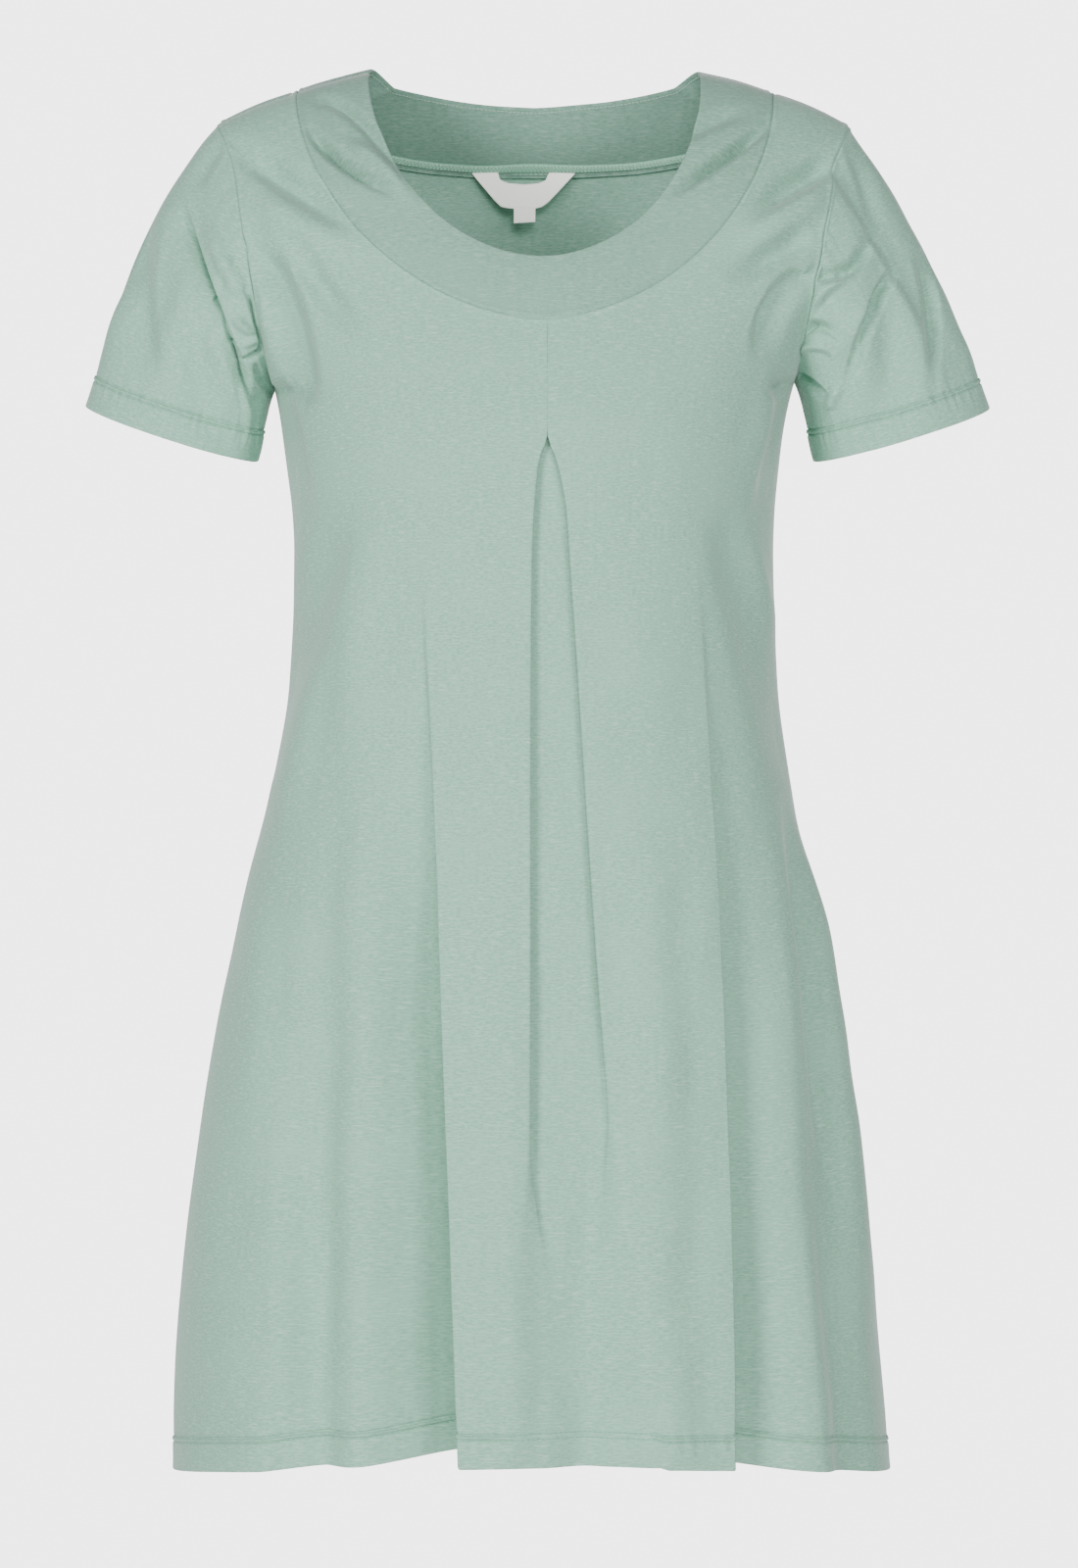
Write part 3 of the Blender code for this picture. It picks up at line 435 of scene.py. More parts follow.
# Columns and rows: guides as in the part's source, with the number of cells between them
CORNER = 0.80
CORNER_SWING = 0.085
CORNER_SWING_START = 0.40
ARMHOLE_PULL_START = 0.35
ARMHOLE_PULL_REACH = 0.55
YOKE_BLEND = 1.5
SKIRT_RIPPLE_START = 0.35
SHOULDER_START = 0.73
FOLD_A, FOLD_A_EDGE, PLEAT_LEFT, PLEAT_RIGHT, FOLD_B_EDGE, FOLD_B = -0.40, -0.36, -0.04, 0.04, 0.465, 0.50
BESIDE_PLEAT = 0.003
FOLD_A_TOP = -0.40
FOLD_B_TOP = 0.46
OUTER_GUIDES = (0.66, 0.70, 0.717, SHOULDER_START, 1.0)
OUTER_TOPS = (0.70, 0.76, 0.788, CORNER, 1.0)
PLEAT_EDGE_CELLS = 7
PLEAT_RETURN_CELLS = 7
PLEAT_BEND_CELLS = 5
PLEAT_UNDERLAY_CELLS = 9
Span = namedtuple("Span", "start end cells crowd_start crowd_end", defaults=(False, False))
FRONT_SPANS = (
    Span(-1.0, -SHOULDER_START, 30, crowd_start=True),
    Span(-SHOULDER_START, FOLD_A, 44),
    Span(FOLD_A, FOLD_A_EDGE, 13),
    Span(FOLD_A_EDGE, PLEAT_LEFT - BESIDE_PLEAT, 38),
    Span(PLEAT_LEFT - BESIDE_PLEAT, PLEAT_LEFT, 1),
    Span(PLEAT_RIGHT, PLEAT_RIGHT + BESIDE_PLEAT, 1),
    Span(PLEAT_RIGHT + BESIDE_PLEAT, FOLD_B_EDGE, 46),
    Span(FOLD_B_EDGE, FOLD_B, 12),
    Span(FOLD_B, SHOULDER_START, 24),
    Span(SHOULDER_START, 1.0, 28, crowd_end=True),
)
BACK_SPANS = (
    Span(-1.0, -SHOULDER_START, 30, crowd_start=True),
    Span(-SHOULDER_START, SHOULDER_START, 130),
    Span(SHOULDER_START, 1.0, 30, crowd_end=True),
)
YOKE_CELLS = 110
SKIRT_CELLS = 120
SLEEVE_CELLS = 150
SLEEVE_FRONT_CELLS = 200
SLEEVE_BACK_CELLS = 100
SLEEVE_GIRTH = 0.36
BAND_CELLS = 40


def table_curve(table, key, column):
    """The stations, values and slopes of one column of a table."""
    rows = sorted(table, key=lambda row: getattr(row, key))
    stations = np.array([getattr(row, key) for row in rows])
    values = np.array([getattr(row, column) for row in rows])
    steps = np.diff(stations)
    slopes = np.diff(values) / steps
    tangents = np.zeros(len(rows))
    for i in range(1, len(rows) - 1):
        if slopes[i - 1] * slopes[i] > 0.0:
            before = 2.0 * steps[i] + steps[i - 1]
            after = steps[i] + 2.0 * steps[i - 1]
            tangents[i] = (before + after) / (before / slopes[i - 1] + after / slopes[i])
    tangents[0] = slopes[0]
    tangents[-1] = slopes[-1]
    return stations, values, tangents


def read(table, key, column, at):
    """One column of a table, read at values of its key column without overshooting."""
    stations, values, tangents = table_curve(table, key, column)
    at = np.clip(at, stations[0], stations[-1])
    i = np.clip(np.searchsorted(stations, at) - 1, 0, len(stations) - 2)
    step = stations[i + 1] - stations[i]
    t = (at - stations[i]) / step
    start = (2 * t**3 - 3 * t**2 + 1) * values[i] + (t**3 - 2 * t**2 + t) * step * tangents[i]
    end = (3 * t**2 - 2 * t**3) * values[i + 1] + (t**3 - t**2) * step * tangents[i + 1]
    return start + end


def ease(t):
    """0 to 1 with level ends."""
    t = np.clip(t, 0.0, 1.0)
    return t * t * (3.0 - 2.0 * t)


def hump(away):
    """1 in the middle and 0 from 1 outwards, round at both."""
    return np.cos(np.pi / 2.0 * np.clip(away, 0.0, 1.0)) ** 2


def half_width(z, side):
    """Half width of the body at a height, on one side of the middle."""
    return np.where(side < 0, read(SECTIONS, "z", "left", z), read(SECTIONS, "z", "right", z))


def shoulder_height(x):
    """Height of the shoulder seam at a distance from the middle."""
    return read(SHOULDER, "x", "z", np.abs(x))


def angle_at(x, z):
    """Place round the body of a point seen at x from the front."""
    return np.arcsin(np.clip(x / half_width(z, x), -1.0, 1.0))


def body_point(angle, z, face):
    """Points on the plain outer surface of the body, before any fold."""
    x = half_width(z, angle) * np.sin(angle)
    squareness = FRONT_SQUARENESS if face == FRONT else BACK_SQUARENESS
    across = np.clip(1.0 - np.abs(np.sin(angle)) ** squareness, 0.0, 1.0) ** (1.0 / squareness)
    drop = np.clip((shoulder_height(x) - z) / SHOULDER_ROUND, 0.0, 1.0)
    rounding = np.sqrt(np.clip(1.0 - (1.0 - drop) ** 2, 0.0, 1.0))
    depth = read(SECTIONS, "z", "front" if face == FRONT else "back", z) * across * rounding
    return np.stack([x, SEAM_Y + face * depth, z + np.zeros_like(x)], axis=-1)


def roll_back(points):
    """Lifts the back just behind the shoulder seams, where it rolls over the shoulder."""
    behind = np.clip((points[..., 1] - SEAM_Y) / SHOULDER_ROLL, 0.0, 1.0)
    near = ease(1.0 - (shoulder_height(points[..., 0]) - points[..., 2]) / SHOULDER_ROLL_DROP)
    height = np.where(points[..., 0] < 0.0, LEFT_ROLL_HEIGHT, RIGHT_ROLL_HEIGHT)
    points[..., 2] += height * np.sin(math.pi * behind) * near


def unit(vectors):
    """Vectors scaled to a length of one."""
    return vectors / np.maximum(np.linalg.norm(vectors, axis=-1, keepdims=True), 1e-12)


def body_normal(angle, z, face):
    """The direction out of the plain body surface."""
    small_angle = 0.02
    small_height = 0.004
    limit = math.pi / 2.0 - 2.0 * small_angle
    inner = np.clip(angle, -limit, limit)
    across = body_point(inner + small_angle, z, face) - body_point(inner - small_angle, z, face)
    up = body_point(inner, z + small_height, face) - body_point(inner, z - small_height, face)
    return unit(np.cross(across, up) * -face)


def as_seen(points):
    """(x, z) of points as the camera sees them in the plane through the side seams."""
    scale = CAMERA_DISTANCE / (CAMERA_DISTANCE + points[..., 1])
    return CAMERA_X + (points[..., 0] - CAMERA_X) * scale, CAMERA_Z + (points[..., 2] - CAMERA_Z) * scale


def fold_run(fold, z):
    """How far down a fold a height lies, from 0 at its start to 1 at the hem."""
    return np.clip((fold.top_z - z) / (fold.top_z - HEM_SIDE_Z), 0.0, 1.0)


def fold_line(fold, z):
    """Where a fold lies at a height, seen from the front."""
    run = fold_run(fold, z)
    return fold.top_x + (fold.hem_x - fold.top_x) * run + fold.bow * np.sin(math.pi * run)


def fold_shape(fold, x, z):
    """How deep a fold is at a point."""
    run = fold_run(fold, z)
    line = fold_line(fold, z)
    reach = np.where(x < line, fold.left_reach, fold.right_reach) * (0.55 + 0.45 * run)
    return fold.depth * ease(run * 1.15) * hump(np.abs(x - line) / reach)


def fold_depth(folds, x, z):
    """How far the cloth falls back."""
    return sum(fold_shape(fold, x, z) for fold in folds)


def fold_slide(folds, x, z):
    """How far the floor of each fold slides sideways behind its sharp edge."""
    return sum(fold.undercut * fold_shape(fold, x, z) / fold.depth for fold in folds)


def crease_depth(creases, x, z):
    """How far creases push the cloth in, at points seen at (x, z)."""
    total = np.zeros_like(x)
    for crease in creases:
        start = np.array([crease.x0, crease.z0]) * MM
        end = np.array([crease.x2, crease.z2]) * MM
        bend = 2.0 * np.array([crease.x1, crease.z1]) * MM - (start + end) / 2.0
        t = np.linspace(0.0, 1.0, 13)[:, None]
        line = (1 - t) ** 2 * start + 2 * t * (1 - t) * bend + t**2 * end
        margin = max(crease.left, crease.right) * MM
        near = (x > line[:, 0].min() - margin) & (x < line[:, 0].max() + margin)
        near &= (z > line[:, 1].min() - margin) & (z < line[:, 1].max() + margin)
        px = x[near]
        pz = z[near]
        best = np.full(px.shape, 1e9)
        along = np.zeros_like(px)
        side = np.zeros_like(px)
        for i in range(len(line) - 1):
            dx, dz = line[i + 1] - line[i]
            length = dx * dx + dz * dz
            s = np.clip(((px - line[i, 0]) * dx + (pz - line[i, 1]) * dz) / length, 0.0, 1.0)
            away = np.hypot(px - line[i, 0] - s * dx, pz - line[i, 1] - s * dz)
            closer = away < best
            best = np.where(closer, away, best)
            along = np.where(closer, (i + s) / (len(line) - 1), along)
            side = np.where(closer, dx * (pz - line[i, 1]) - dz * (px - line[i, 0]), side)
        reach = np.where(side > 0.0, crease.left, crease.right) * MM
        strength = crease.head + (1.0 - crease.head) * ease(along / 0.3)
        strength = strength * (crease.tail + (1.0 - crease.tail) * ease((1.0 - along) / 0.45))
        total[near] += crease.depth * MM * strength * hump(best / reach)
    return total


def ripple_height(x, z, strength):
    """Small waves of the cloth."""
    waves = sum(r.height * np.sin(2.0 * math.pi * (r.across * x + r.down * z) + r.phase) for r in RIPPLES)
    return waves * strength


def hem_height(angle, x, face, folds):
    """Height of the hem edge round the dress."""
    lift = HEM_FRONT_LIFT if face == FRONT else HEM_BACK_LIFT
    fallen = fold_depth(folds, x, HEM_SIDE_Z) * np.cos(angle)
    return HEM_SIDE_Z + lift * np.cos(angle) + FOLD_HEM_LIFT * fallen


def neck_curve(turn, half_width_top, depth, shape, top_z, sway):
    """A U-shaped neck or band line seen from the front; turn runs from -1 to 1."""
    angle = turn * math.pi / 2.0
    across = np.sign(angle) * np.abs(np.sin(angle)) ** (2.0 / shape)
    down = np.abs(np.cos(angle)) ** (2.0 / shape)
    return half_width_top * across + sway * down, top_z - depth * down


def neck_line(turn, face):
    """The edge of the neck opening."""
    if face == FRONT:
        return neck_curve(turn, NECK_HALF_WIDTH, FRONT_NECK_DEPTH, FRONT_NECK_SHAPE, 0.0, NECK_SWAY)
    return neck_curve(turn, NECK_HALF_WIDTH, BACK_NECK_DEPTH, BACK_NECK_SHAPE, 0.0, 0.0)


def band_line(turn, face):
    """The seam between a neck band and its panel."""
    if face == FRONT:
        return neck_curve(turn, BAND_HALF_WIDTH, FRONT_BAND_DEPTH, FRONT_BAND_SHAPE, BAND_END_Z, NECK_SWAY)
    return neck_curve(turn, BAND_HALF_WIDTH, BACK_BAND_DEPTH, BACK_BAND_SHAPE, BAND_END_Z, 0.0)


def band_turn(x):
    """Where along the front band seam points seen at x lie."""
    turns = np.linspace(-0.7, 0.7, 281)
    return np.interp(x, band_line(turns, FRONT)[0], turns)


def armhole_angle(run, side):
    """Place round the body of the armhole seam, from 0 at the shoulder to 1 at the underarm."""
    z = ARMHOLE[0].z + (UNDERARM_Z - ARMHOLE[0].z) * run
    angle = angle_at(read(ARMHOLE, "z", "half_width", z) * side, z)
    return np.where(run > 0.9999, side * math.pi / 2.0, angle)


def armhole_run(even, face):
    """Evenly spaced stations down the armhole seam."""
    runs = np.linspace(0.0, 1.0, 241)
    heights = ARMHOLE[0].z + (UNDERARM_Z - ARMHOLE[0].z) * runs
    points = body_point(armhole_angle(runs, LEFT), heights, face)
    along = np.concatenate([[0.0], np.cumsum(np.linalg.norm(np.diff(points, axis=0), axis=1))])
    return np.interp(even * along[-1], along, runs)


def pleat_round(z):
    """Radius of the pleat's folded edges: tight where they are sewn together."""
    return PLEAT_SEWN_ROUND + (PLEAT_ROUND - PLEAT_SEWN_ROUND) * ease((PLEAT_APEX_Z - z) / 0.012)


def pleat_at(z):
    """The pleat at each height: its edges, hidden return, underlay depth and openness."""
    left = PLEAT_X - PLEAT_SLIT / 2.0 - read(PLEAT, "z", "left", z)
    right = PLEAT_X + PLEAT_SLIT / 2.0 + read(PLEAT, "z", "right", z)
    under = np.maximum((PLEAT_INTAKE - (right - left)) / 4.0, PLEAT_ROUND)
    underlay = 2.0 * PLEAT_ROUND + PLEAT_LAYER_GAP + read(PLEAT, "z", "depth", z)
    return left, right, under, underlay, read(PLEAT, "z", "openness", z)


def pleat_columns(z):
    """x and depth of the columns across the pleat, for each height."""
    left, right, under, underlay, openness = pleat_at(z)
    r = float(pleat_round(z))
    turns = np.linspace(0.0, math.pi, PLEAT_EDGE_CELLS + 1)[1:]
    folded = [(-r + r * math.sin(a), r - r * math.cos(a)) for a in turns]
    for i in range(1, PLEAT_RETURN_CELLS + 1):
        share = i / PLEAT_RETURN_CELLS
        folded.append((-r - (under - r) * share, 2.0 * r))
    bend = (underlay - 2.0 * r) / 2.0
    for a in np.linspace(0.0, math.pi, PLEAT_BEND_CELLS + 1)[1:]:
        folded.append((-under - bend * math.sin(a), 2.0 * r + bend - bend * math.cos(a)))
    middle = (left + right) / 2.0
    for i in range(1, PLEAT_UNDERLAY_CELLS):
        across = (middle - left + under) * i / PLEAT_UNDERLAY_CELLS
        folded.append((-under + across, underlay + 0.0 * z))
    lefts = []
    rights = []
    for i, (x, depth) in enumerate(folded):
        share = (i + 1) / (len(folded) + 1)
        open_depth = underlay * math.sin(share * math.pi / 2.0) ** 2
        open_left = -r + (middle - left + r) * share
        open_right = -r + (right - middle + r) * share
        blended_depth = depth + (open_depth - depth) * openness
        lefts.append((left + x + (open_left - x) * openness, blended_depth))
        opened = np.sqrt(openness)
        rights.append((right - x - (open_right - x) * opened, depth + (open_depth - depth) * opened))
    return lefts + [(middle, underlay + 0.0 * z)] + rights[::-1]


def front_angle(place, z):
    """Place round the body of the front's columns, for a row's heights."""
    left, right, _, _, _ = pleat_at(z)
    fold_a, fold_b = FRONT_FOLDS[0], FRONT_FOLDS[1]
    line_a = fold_line(fold_a, z)
    line_b = fold_line(fold_b, z)
    lines = (
        line_a,
        line_a + fold_a.right_reach,
        left - pleat_round(z),
        right + pleat_round(z),
        line_b - fold_b.left_reach,
        line_b,
    )
    places = (-1.0, FOLD_A, FOLD_A_EDGE, PLEAT_LEFT, PLEAT_RIGHT, FOLD_B_EDGE, FOLD_B, 1.0)
    angles = [-math.pi / 2.0] + [float(angle_at(x, z)) for x in lines] + [math.pi / 2.0]
    return np.interp(place, places, angles)


def places_in(spans):
    """Places across the body of all of a panel's columns."""
    places = []
    for span in spans:
        t = np.linspace(0.0, 1.0, span.cells + 1)
        if span.crowd_start:
            t = t**CROWDING
        if span.crowd_end:
            t = 1.0 - (1.0 - t) ** CROWDING
        places += list(span.start + (span.end - span.start) * t)
    return np.array(sorted(set(np.round(places, 6))))


def top_places(places, face):
    """Where a panel's columns meet its top edge."""
    if face == FRONT:
        left, right, _, _, _ = pleat_at(np.array(BAND_END_Z - FRONT_BAND_DEPTH))
        pleat_left = CORNER * band_turn(left - PLEAT_SEWN_ROUND)
        pleat_right = CORNER * band_turn(right + PLEAT_SEWN_ROUND)
        guides = [FOLD_A, PLEAT_LEFT, PLEAT_RIGHT, FOLD_B]
        tops = [FOLD_A_TOP, pleat_left, pleat_right, FOLD_B_TOP]
    else:
        guides = [0.0]
        tops = [0.0]
    guides = [-g for g in OUTER_GUIDES[::-1]] + guides + list(OUTER_GUIDES)
    tops = [-t for t in OUTER_TOPS[::-1]] + tops + list(OUTER_TOPS)
    return np.interp(places, guides, tops)


def top_edge(tops, face):
    """The panel's upper edge: the band seam in the middle and the shoulder seams outside it."""
    band_x, band_z = band_line(np.clip(tops / CORNER, -1.0, 1.0), face)
    run = (np.abs(tops) - CORNER) / (1.0 - CORNER)
    x = np.sign(tops) * (BAND_HALF_WIDTH + (ARMHOLE[0].half_width - BAND_HALF_WIDTH) * run)
    inside = np.abs(tops) <= CORNER
    return np.where(inside, band_x, x), np.where(inside, band_z, shoulder_height(x))


def grid_normals(rows, face_out, closed=False):
    """Directions out of a grid of points."""
    wide = np.concatenate([rows[:, -2:-1], rows, rows[:, 1:2]], axis=1) if closed else rows
    along = wide[:-1, 1:] - wide[1:, :-1]
    across = wide[1:, 1:] - wide[:-1, :-1]
    faces = unit(np.cross(across, along)) * face_out
    normals = np.zeros_like(wide)
    normals[:-1, :-1] += faces
    normals[:-1, 1:] += faces
    normals[1:, :-1] += faces
    normals[1:, 1:] += faces
    if closed:
        normals = normals[:, 1:-1]
    return unit(normals)


def run_along(rows, axis):
    """Distance along a grid's lines from their first point."""
    steps = np.linalg.norm(np.diff(rows, axis=axis), axis=-1)
    start = np.zeros_like(np.take(steps, [0], axis=axis))
    return np.concatenate([start, np.cumsum(steps, axis=axis)], axis=axis)


def bell(away, reach):
    """1 in the middle, fading out smoothly."""
    return np.exp(-((away / reach) ** 2))


def seam_relief(away):
    """How far cloth is drawn in at a seam, and stands proud beside it."""
    ditch = SEAM_DITCH * bell(away, SEAM_DITCH_REACH)
    return ditch - SEAM_RIDGE * bell(away - SEAM_RIDGE_AWAY, SEAM_RIDGE_REACH)


def side_relief(rows):
    """Relief of the seams at a grid's two sides."""
    return seam_relief(run_along(rows, 1)) + seam_relief(run_along(rows[:, ::-1], 1)[:, ::-1])


def above_edge(rows):
    """Distance of a grid's points above its last row."""
    return run_along(rows[::-1], 0)[::-1]


def hem_relief(above, along):
    """How far a twin-stitched hem is drawn in: at the stitches, and in puckers between them."""
    first, second = STITCH_ROWS
    ditch = sum(HEM_DITCH * bell(above - row, HEM_DITCH_REACH) for row in STITCH_ROWS)
    ridge = HEM_RIDGE * bell(above - (first + second) / 2.0, HEM_RIDGE_REACH)
    fast, slow, other = (along * turns for turns in PUCKER_TURNS)
    puckers = np.sin(fast + 1.7 * np.sin(slow)) + 0.6 * np.sin(other + 2.0)
    step = HEM_STEP * ease((above - HEM_HEIGHT) / HEM_STEP_REACH)
    step = step * ease((HEM_STEP_END - above) / HEM_STEP_FADE)
    return ditch - ridge + PUCKER_HEIGHT * puckers * bell(above - first, PUCKER_REACH) + step


def rolled_edge(edge, inward, onward, radius, count):
    """Rows that turn over a rounded edge, after the edge's own row."""
    turns = np.linspace(0.0, math.pi, count + 1)[1:]
    return np.array([edge + radius * (inward * (1.0 - math.cos(a)) + onward * math.sin(a)) for a in turns])


def place_mesh(name, vertices, faces, material):
    """A smooth mesh object in the scene."""
    mesh = bpy.data.meshes.new(name)
    mesh.from_pydata(vertices, [], faces)
    mesh.shade_smooth()
    mesh.materials.append(material)
    piece = bpy.data.objects.new(name, mesh)
    bpy.context.scene.collection.objects.link(piece)
    return piece


class Cloth:
    """A piece of cloth as rows of points, with what goes along with each of them."""

    def __init__(self, rows, flat, face_out, closed=False):
        self.rows = rows
        self.flat = flat
        self.face_out = face_out
        self.closed = closed

    def normals(self):
        return grid_normals(self.rows, self.face_out, self.closed)

    def push_in(self, depth):
        """Moves each point in by its own depth."""
        self.rows = self.rows - self.normals() * depth[..., None]

    def add_rows(self, roll, inside, flat_inside):
        """Adds rows over the edge, which have the last row's place in the cloth, and rows inside."""
        flat_roll = np.repeat(self.flat[-1:], len(roll), axis=0)
        self.rows = np.concatenate([self.rows, roll, inside])
        self.flat = np.concatenate([self.flat, flat_roll, flat_inside])

    def add_hem(self):
        """Turns the cloth up inside at its last rows."""
        above = above_edge(self.rows)
        turned = above[:, above.shape[1] // 2] < HEM_HEIGHT
        outside = self.rows[turned]
        normals = self.normals()[turned]
        down = unit(outside[-1] - outside[-2])
        roll = rolled_edge(outside[-1], -normals[-1], down, HEM_ROLL, 5)
        inside = (outside - normals * 2.0 * HEM_ROLL)[::-1][1:]
        self.add_rows(roll, inside, self.flat[turned][::-1][1:])

    def add_allowance(self, face=None):
        """Turns the first row in along the seam, always to the inside of a front or back."""
        out = self.normals()[4] * SEAM_ALLOWANCE
        out[:, 2] = np.abs(out[:, 2])
        if face is not None:
            out[:, 1] = face * np.abs(out[:, 1])
        self.rows = np.concatenate([(self.rows[0] - out)[None], self.rows])
        self.flat = np.concatenate([self.flat[:1], self.flat])

    def lap_edge(self, drop):
        """Carries the last row on down, past the seam below it."""
        lapped = self.rows[-1] + np.array([0.0, BACK_BAND_LAP_OUT, -drop])
        self.rows = np.concatenate([self.rows, lapped[None]])
        self.flat = np.concatenate([self.flat, self.flat[-1:]])

    def make(self, name, material, painted_shade_material=None, painted_shade_from=0):
        """The mesh object. When a second material is given, rows from the given first row on take it: a
        darker copy of the jersey that paints shade on them.
        """
        down, across = self.rows.shape[:2]
        width = across - 1 if self.closed else across
        vertices = self.rows[:, :width].reshape(-1, 3)
        r, c = np.meshgrid(np.arange(down - 1), np.arange(across - 1), indexing="ij")
        d = (c + 1) % width
        corners = np.stack([r * width + c, (r + 1) * width + c, (r + 1) * width + d, r * width + d], axis=-1)
        flat_corners = np.stack(
            [self.flat[r, c], self.flat[r + 1, c], self.flat[r + 1, c + 1], self.flat[r, c + 1]], axis=2
        )
        if self.face_out < 0:
            corners = corners[..., ::-1]
            flat_corners = flat_corners[:, :, ::-1]
        piece = place_mesh(name, vertices.tolist(), corners.reshape(-1, 4).tolist(), material)
        layer = piece.data.uv_layers.new(name="cloth")
        layer.data.foreach_set("uv", flat_corners.reshape(-1, 2).astype(np.float32).ravel())
        if painted_shade_material:
            shows_painted_shade = (r.ravel() >= painted_shade_from).astype(np.int32)
            piece.data.materials.append(painted_shade_material)
            piece.data.polygons.foreach_set("material_index", shows_painted_shade)
        return piece


def columns_at(places, z, face):
    """Place round the body of a panel's columns, at a height below the armholes."""
    return front_angle(places, np.array(z)) if face == FRONT else places * math.pi / 2.0


def panel(face, folds, creases):
    """The front or back as a Cloth, from its top edge to its hem edge."""
    places = places_in(FRONT_SPANS if face == FRONT else BACK_SPANS)
    side = np.where(places < 0.0, -1.0, 1.0)
    x_top, z_top = top_edge(top_places(places, face), face)
    start = angle_at(x_top, z_top)
    end = columns_at(places, UNDERARM_Z, face)
    outer = ease((np.abs(places) - ARMHOLE_PULL_START) / ARMHOLE_PULL_REACH)
    edge_start = armhole_angle(np.array(0.0), 1.0) * side
    swing_places = (CORNER_SWING_START, SHOULDER_START, 1.0)
    beside_corner = np.interp(np.abs(places), swing_places, (0.0, 1.0, 0.0))
    angles = []
    heights = []
    for row in range(YOKE_CELLS + 1):
        even = (row / YOKE_CELLS) ** YOKE_CROWDING
        run = even + (armhole_run(even, face) - even) * outer
        edge = np.where(places < 0.0, armhole_angle(run, -1.0), armhole_angle(run, 1.0))
        bend = edge - edge_start - (side * math.pi / 2.0 - edge_start) * run**YOKE_BLEND
        swing = side * CORNER_SWING * beside_corner * np.sin(math.pi * np.sqrt(run))
        angle = start + (end - start) * run**YOKE_BLEND + bend * np.abs(places) ** 3 + swing
        angles.append(np.where(np.abs(places) == 1.0, edge, angle))
        heights.append(z_top + (UNDERARM_Z - z_top) * run)
    hem_angle = columns_at(places, HEM_SIDE_Z, face)
    hem_x = half_width(np.array(HEM_SIDE_Z), hem_angle) * np.sin(hem_angle)
    lift = hem_height(hem_angle, hem_x, face, folds) - HEM_SIDE_Z
    for z_side in np.linspace(UNDERARM_Z, HEM_SIDE_Z, SKIRT_CELLS + 1)[1:]:
        down = (z_side - UNDERARM_Z) / (HEM_SIDE_Z - UNDERARM_Z)
        angles.append(columns_at(places, z_side, face))
        heights.append(z_side + lift * down**2)
    angles = np.array(angles)
    heights = np.array(heights)
    pleated = 0.0
    if face == FRONT:
        angles, heights, pleated = with_pleat(places, angles, heights)
    plain = body_point(angles, heights, face)
    across = plain[..., 0]
    fold_fade = ease(np.cos(angles) / FOLD_FADE)
    fallen = fold_depth(folds, across, heights) * fold_fade
    seen_x, seen_z = as_seen(plain)
    skirt_share = ease((UNDERARM_Z - heights) / SKIRT_RIPPLE_START)
    strength = YOKE_RIPPLE + (SKIRT_RIPPLE - YOKE_RIPPLE) * skirt_share
    dents = crease_depth(creases, seen_x, seen_z) - ripple_height(seen_x, seen_z, strength)
    dents = dents * ease(np.cos(angles) / CREASE_FADE)
    rows = plain - body_normal(angles, heights, face) * (fallen + pleated + dents)[..., None]
    rows[..., 0] += fold_slide(folds, across, heights) * fold_fade
    if face == BACK:
        roll_back(rows)
    rows, flat = with_hem_rows(rows, np.stack([angles * CLOTH_GIRTH, heights], axis=-1))
    in_yoke = np.arange(rows.shape[0])[:, None] <= YOKE_CELLS
    side_strength = np.where(in_yoke, 1.0, SIDE_SEAM_STRENGTH)
    above = above_edge(rows)
    along = np.broadcast_to(run_along(rows[-1:], 1), above.shape)
    relief = seam_relief(run_along(rows, 0)) + side_strength * side_relief(rows) + hem_relief(above, along)
    if face == FRONT:
        relief = relief * hidden_fade(places, rows.shape[1])
    cloth = Cloth(rows, flat, -face)
    cloth.push_in(relief)
    return cloth


def hidden_fade(places, count):
    """0 on the pleat's hidden columns and 1 elsewhere."""
    fade = np.ones(count)
    first = int(np.argmin(np.abs(places - PLEAT_LEFT)))
    fade[first + 2 : first + 2 + count - len(places) - 3] = 0.0
    return fade[None, :]


def with_pleat(places, angles, heights):
    """Adds the pleat's columns between its two edges: angles, heights, and depths in the pleat."""
    first = int(np.argmin(np.abs(places - PLEAT_LEFT)))
    filled = []
    for row in range(angles.shape[0]):
        z = heights[row, first]
        columns = pleat_columns(np.array(z))
        x = np.array([float(c[0]) for c in columns])
        depth = np.array([float(c[1]) for c in columns])
        z_row = np.full(len(x), z)
        if row <= YOKE_CELLS:
            band_z = band_line(band_turn(x), FRONT)[1]
            share = (z - UNDERARM_Z) / (heights[0, first] - UNDERARM_Z)
            z_row = UNDERARM_Z + (band_z - UNDERARM_Z) * share
        plain = np.stack([angles[row], heights[row], np.zeros(len(places))])
        added = np.stack([angle_at(x, z_row), z_row, depth])
        filled.append(np.concatenate([plain[:, : first + 1], added, plain[:, first + 1 :]], axis=1))
    return np.stack(filled, axis=1)


def with_hem_rows(rows, flat):
    """Moves a cloth's rows up from its bottom edge and fills the hem with rows at set heights."""
    above = above_edge(rows)
    both = np.concatenate([rows, flat], axis=-1)
    filled = []
    for c in range(rows.shape[1]):
        column = above[:, c]
        upper = HEM_ROWS[0] + column * (1.0 - HEM_ROWS[0] / column[0])
        wanted = np.concatenate([upper, HEM_ROWS[1:]])
        filled.append(np.stack([np.interp(-wanted, -column, both[:, c, k]) for k in range(5)], axis=-1))
    filled = np.stack(filled, axis=1)
    return filled[..., :3], filled[..., 3:]


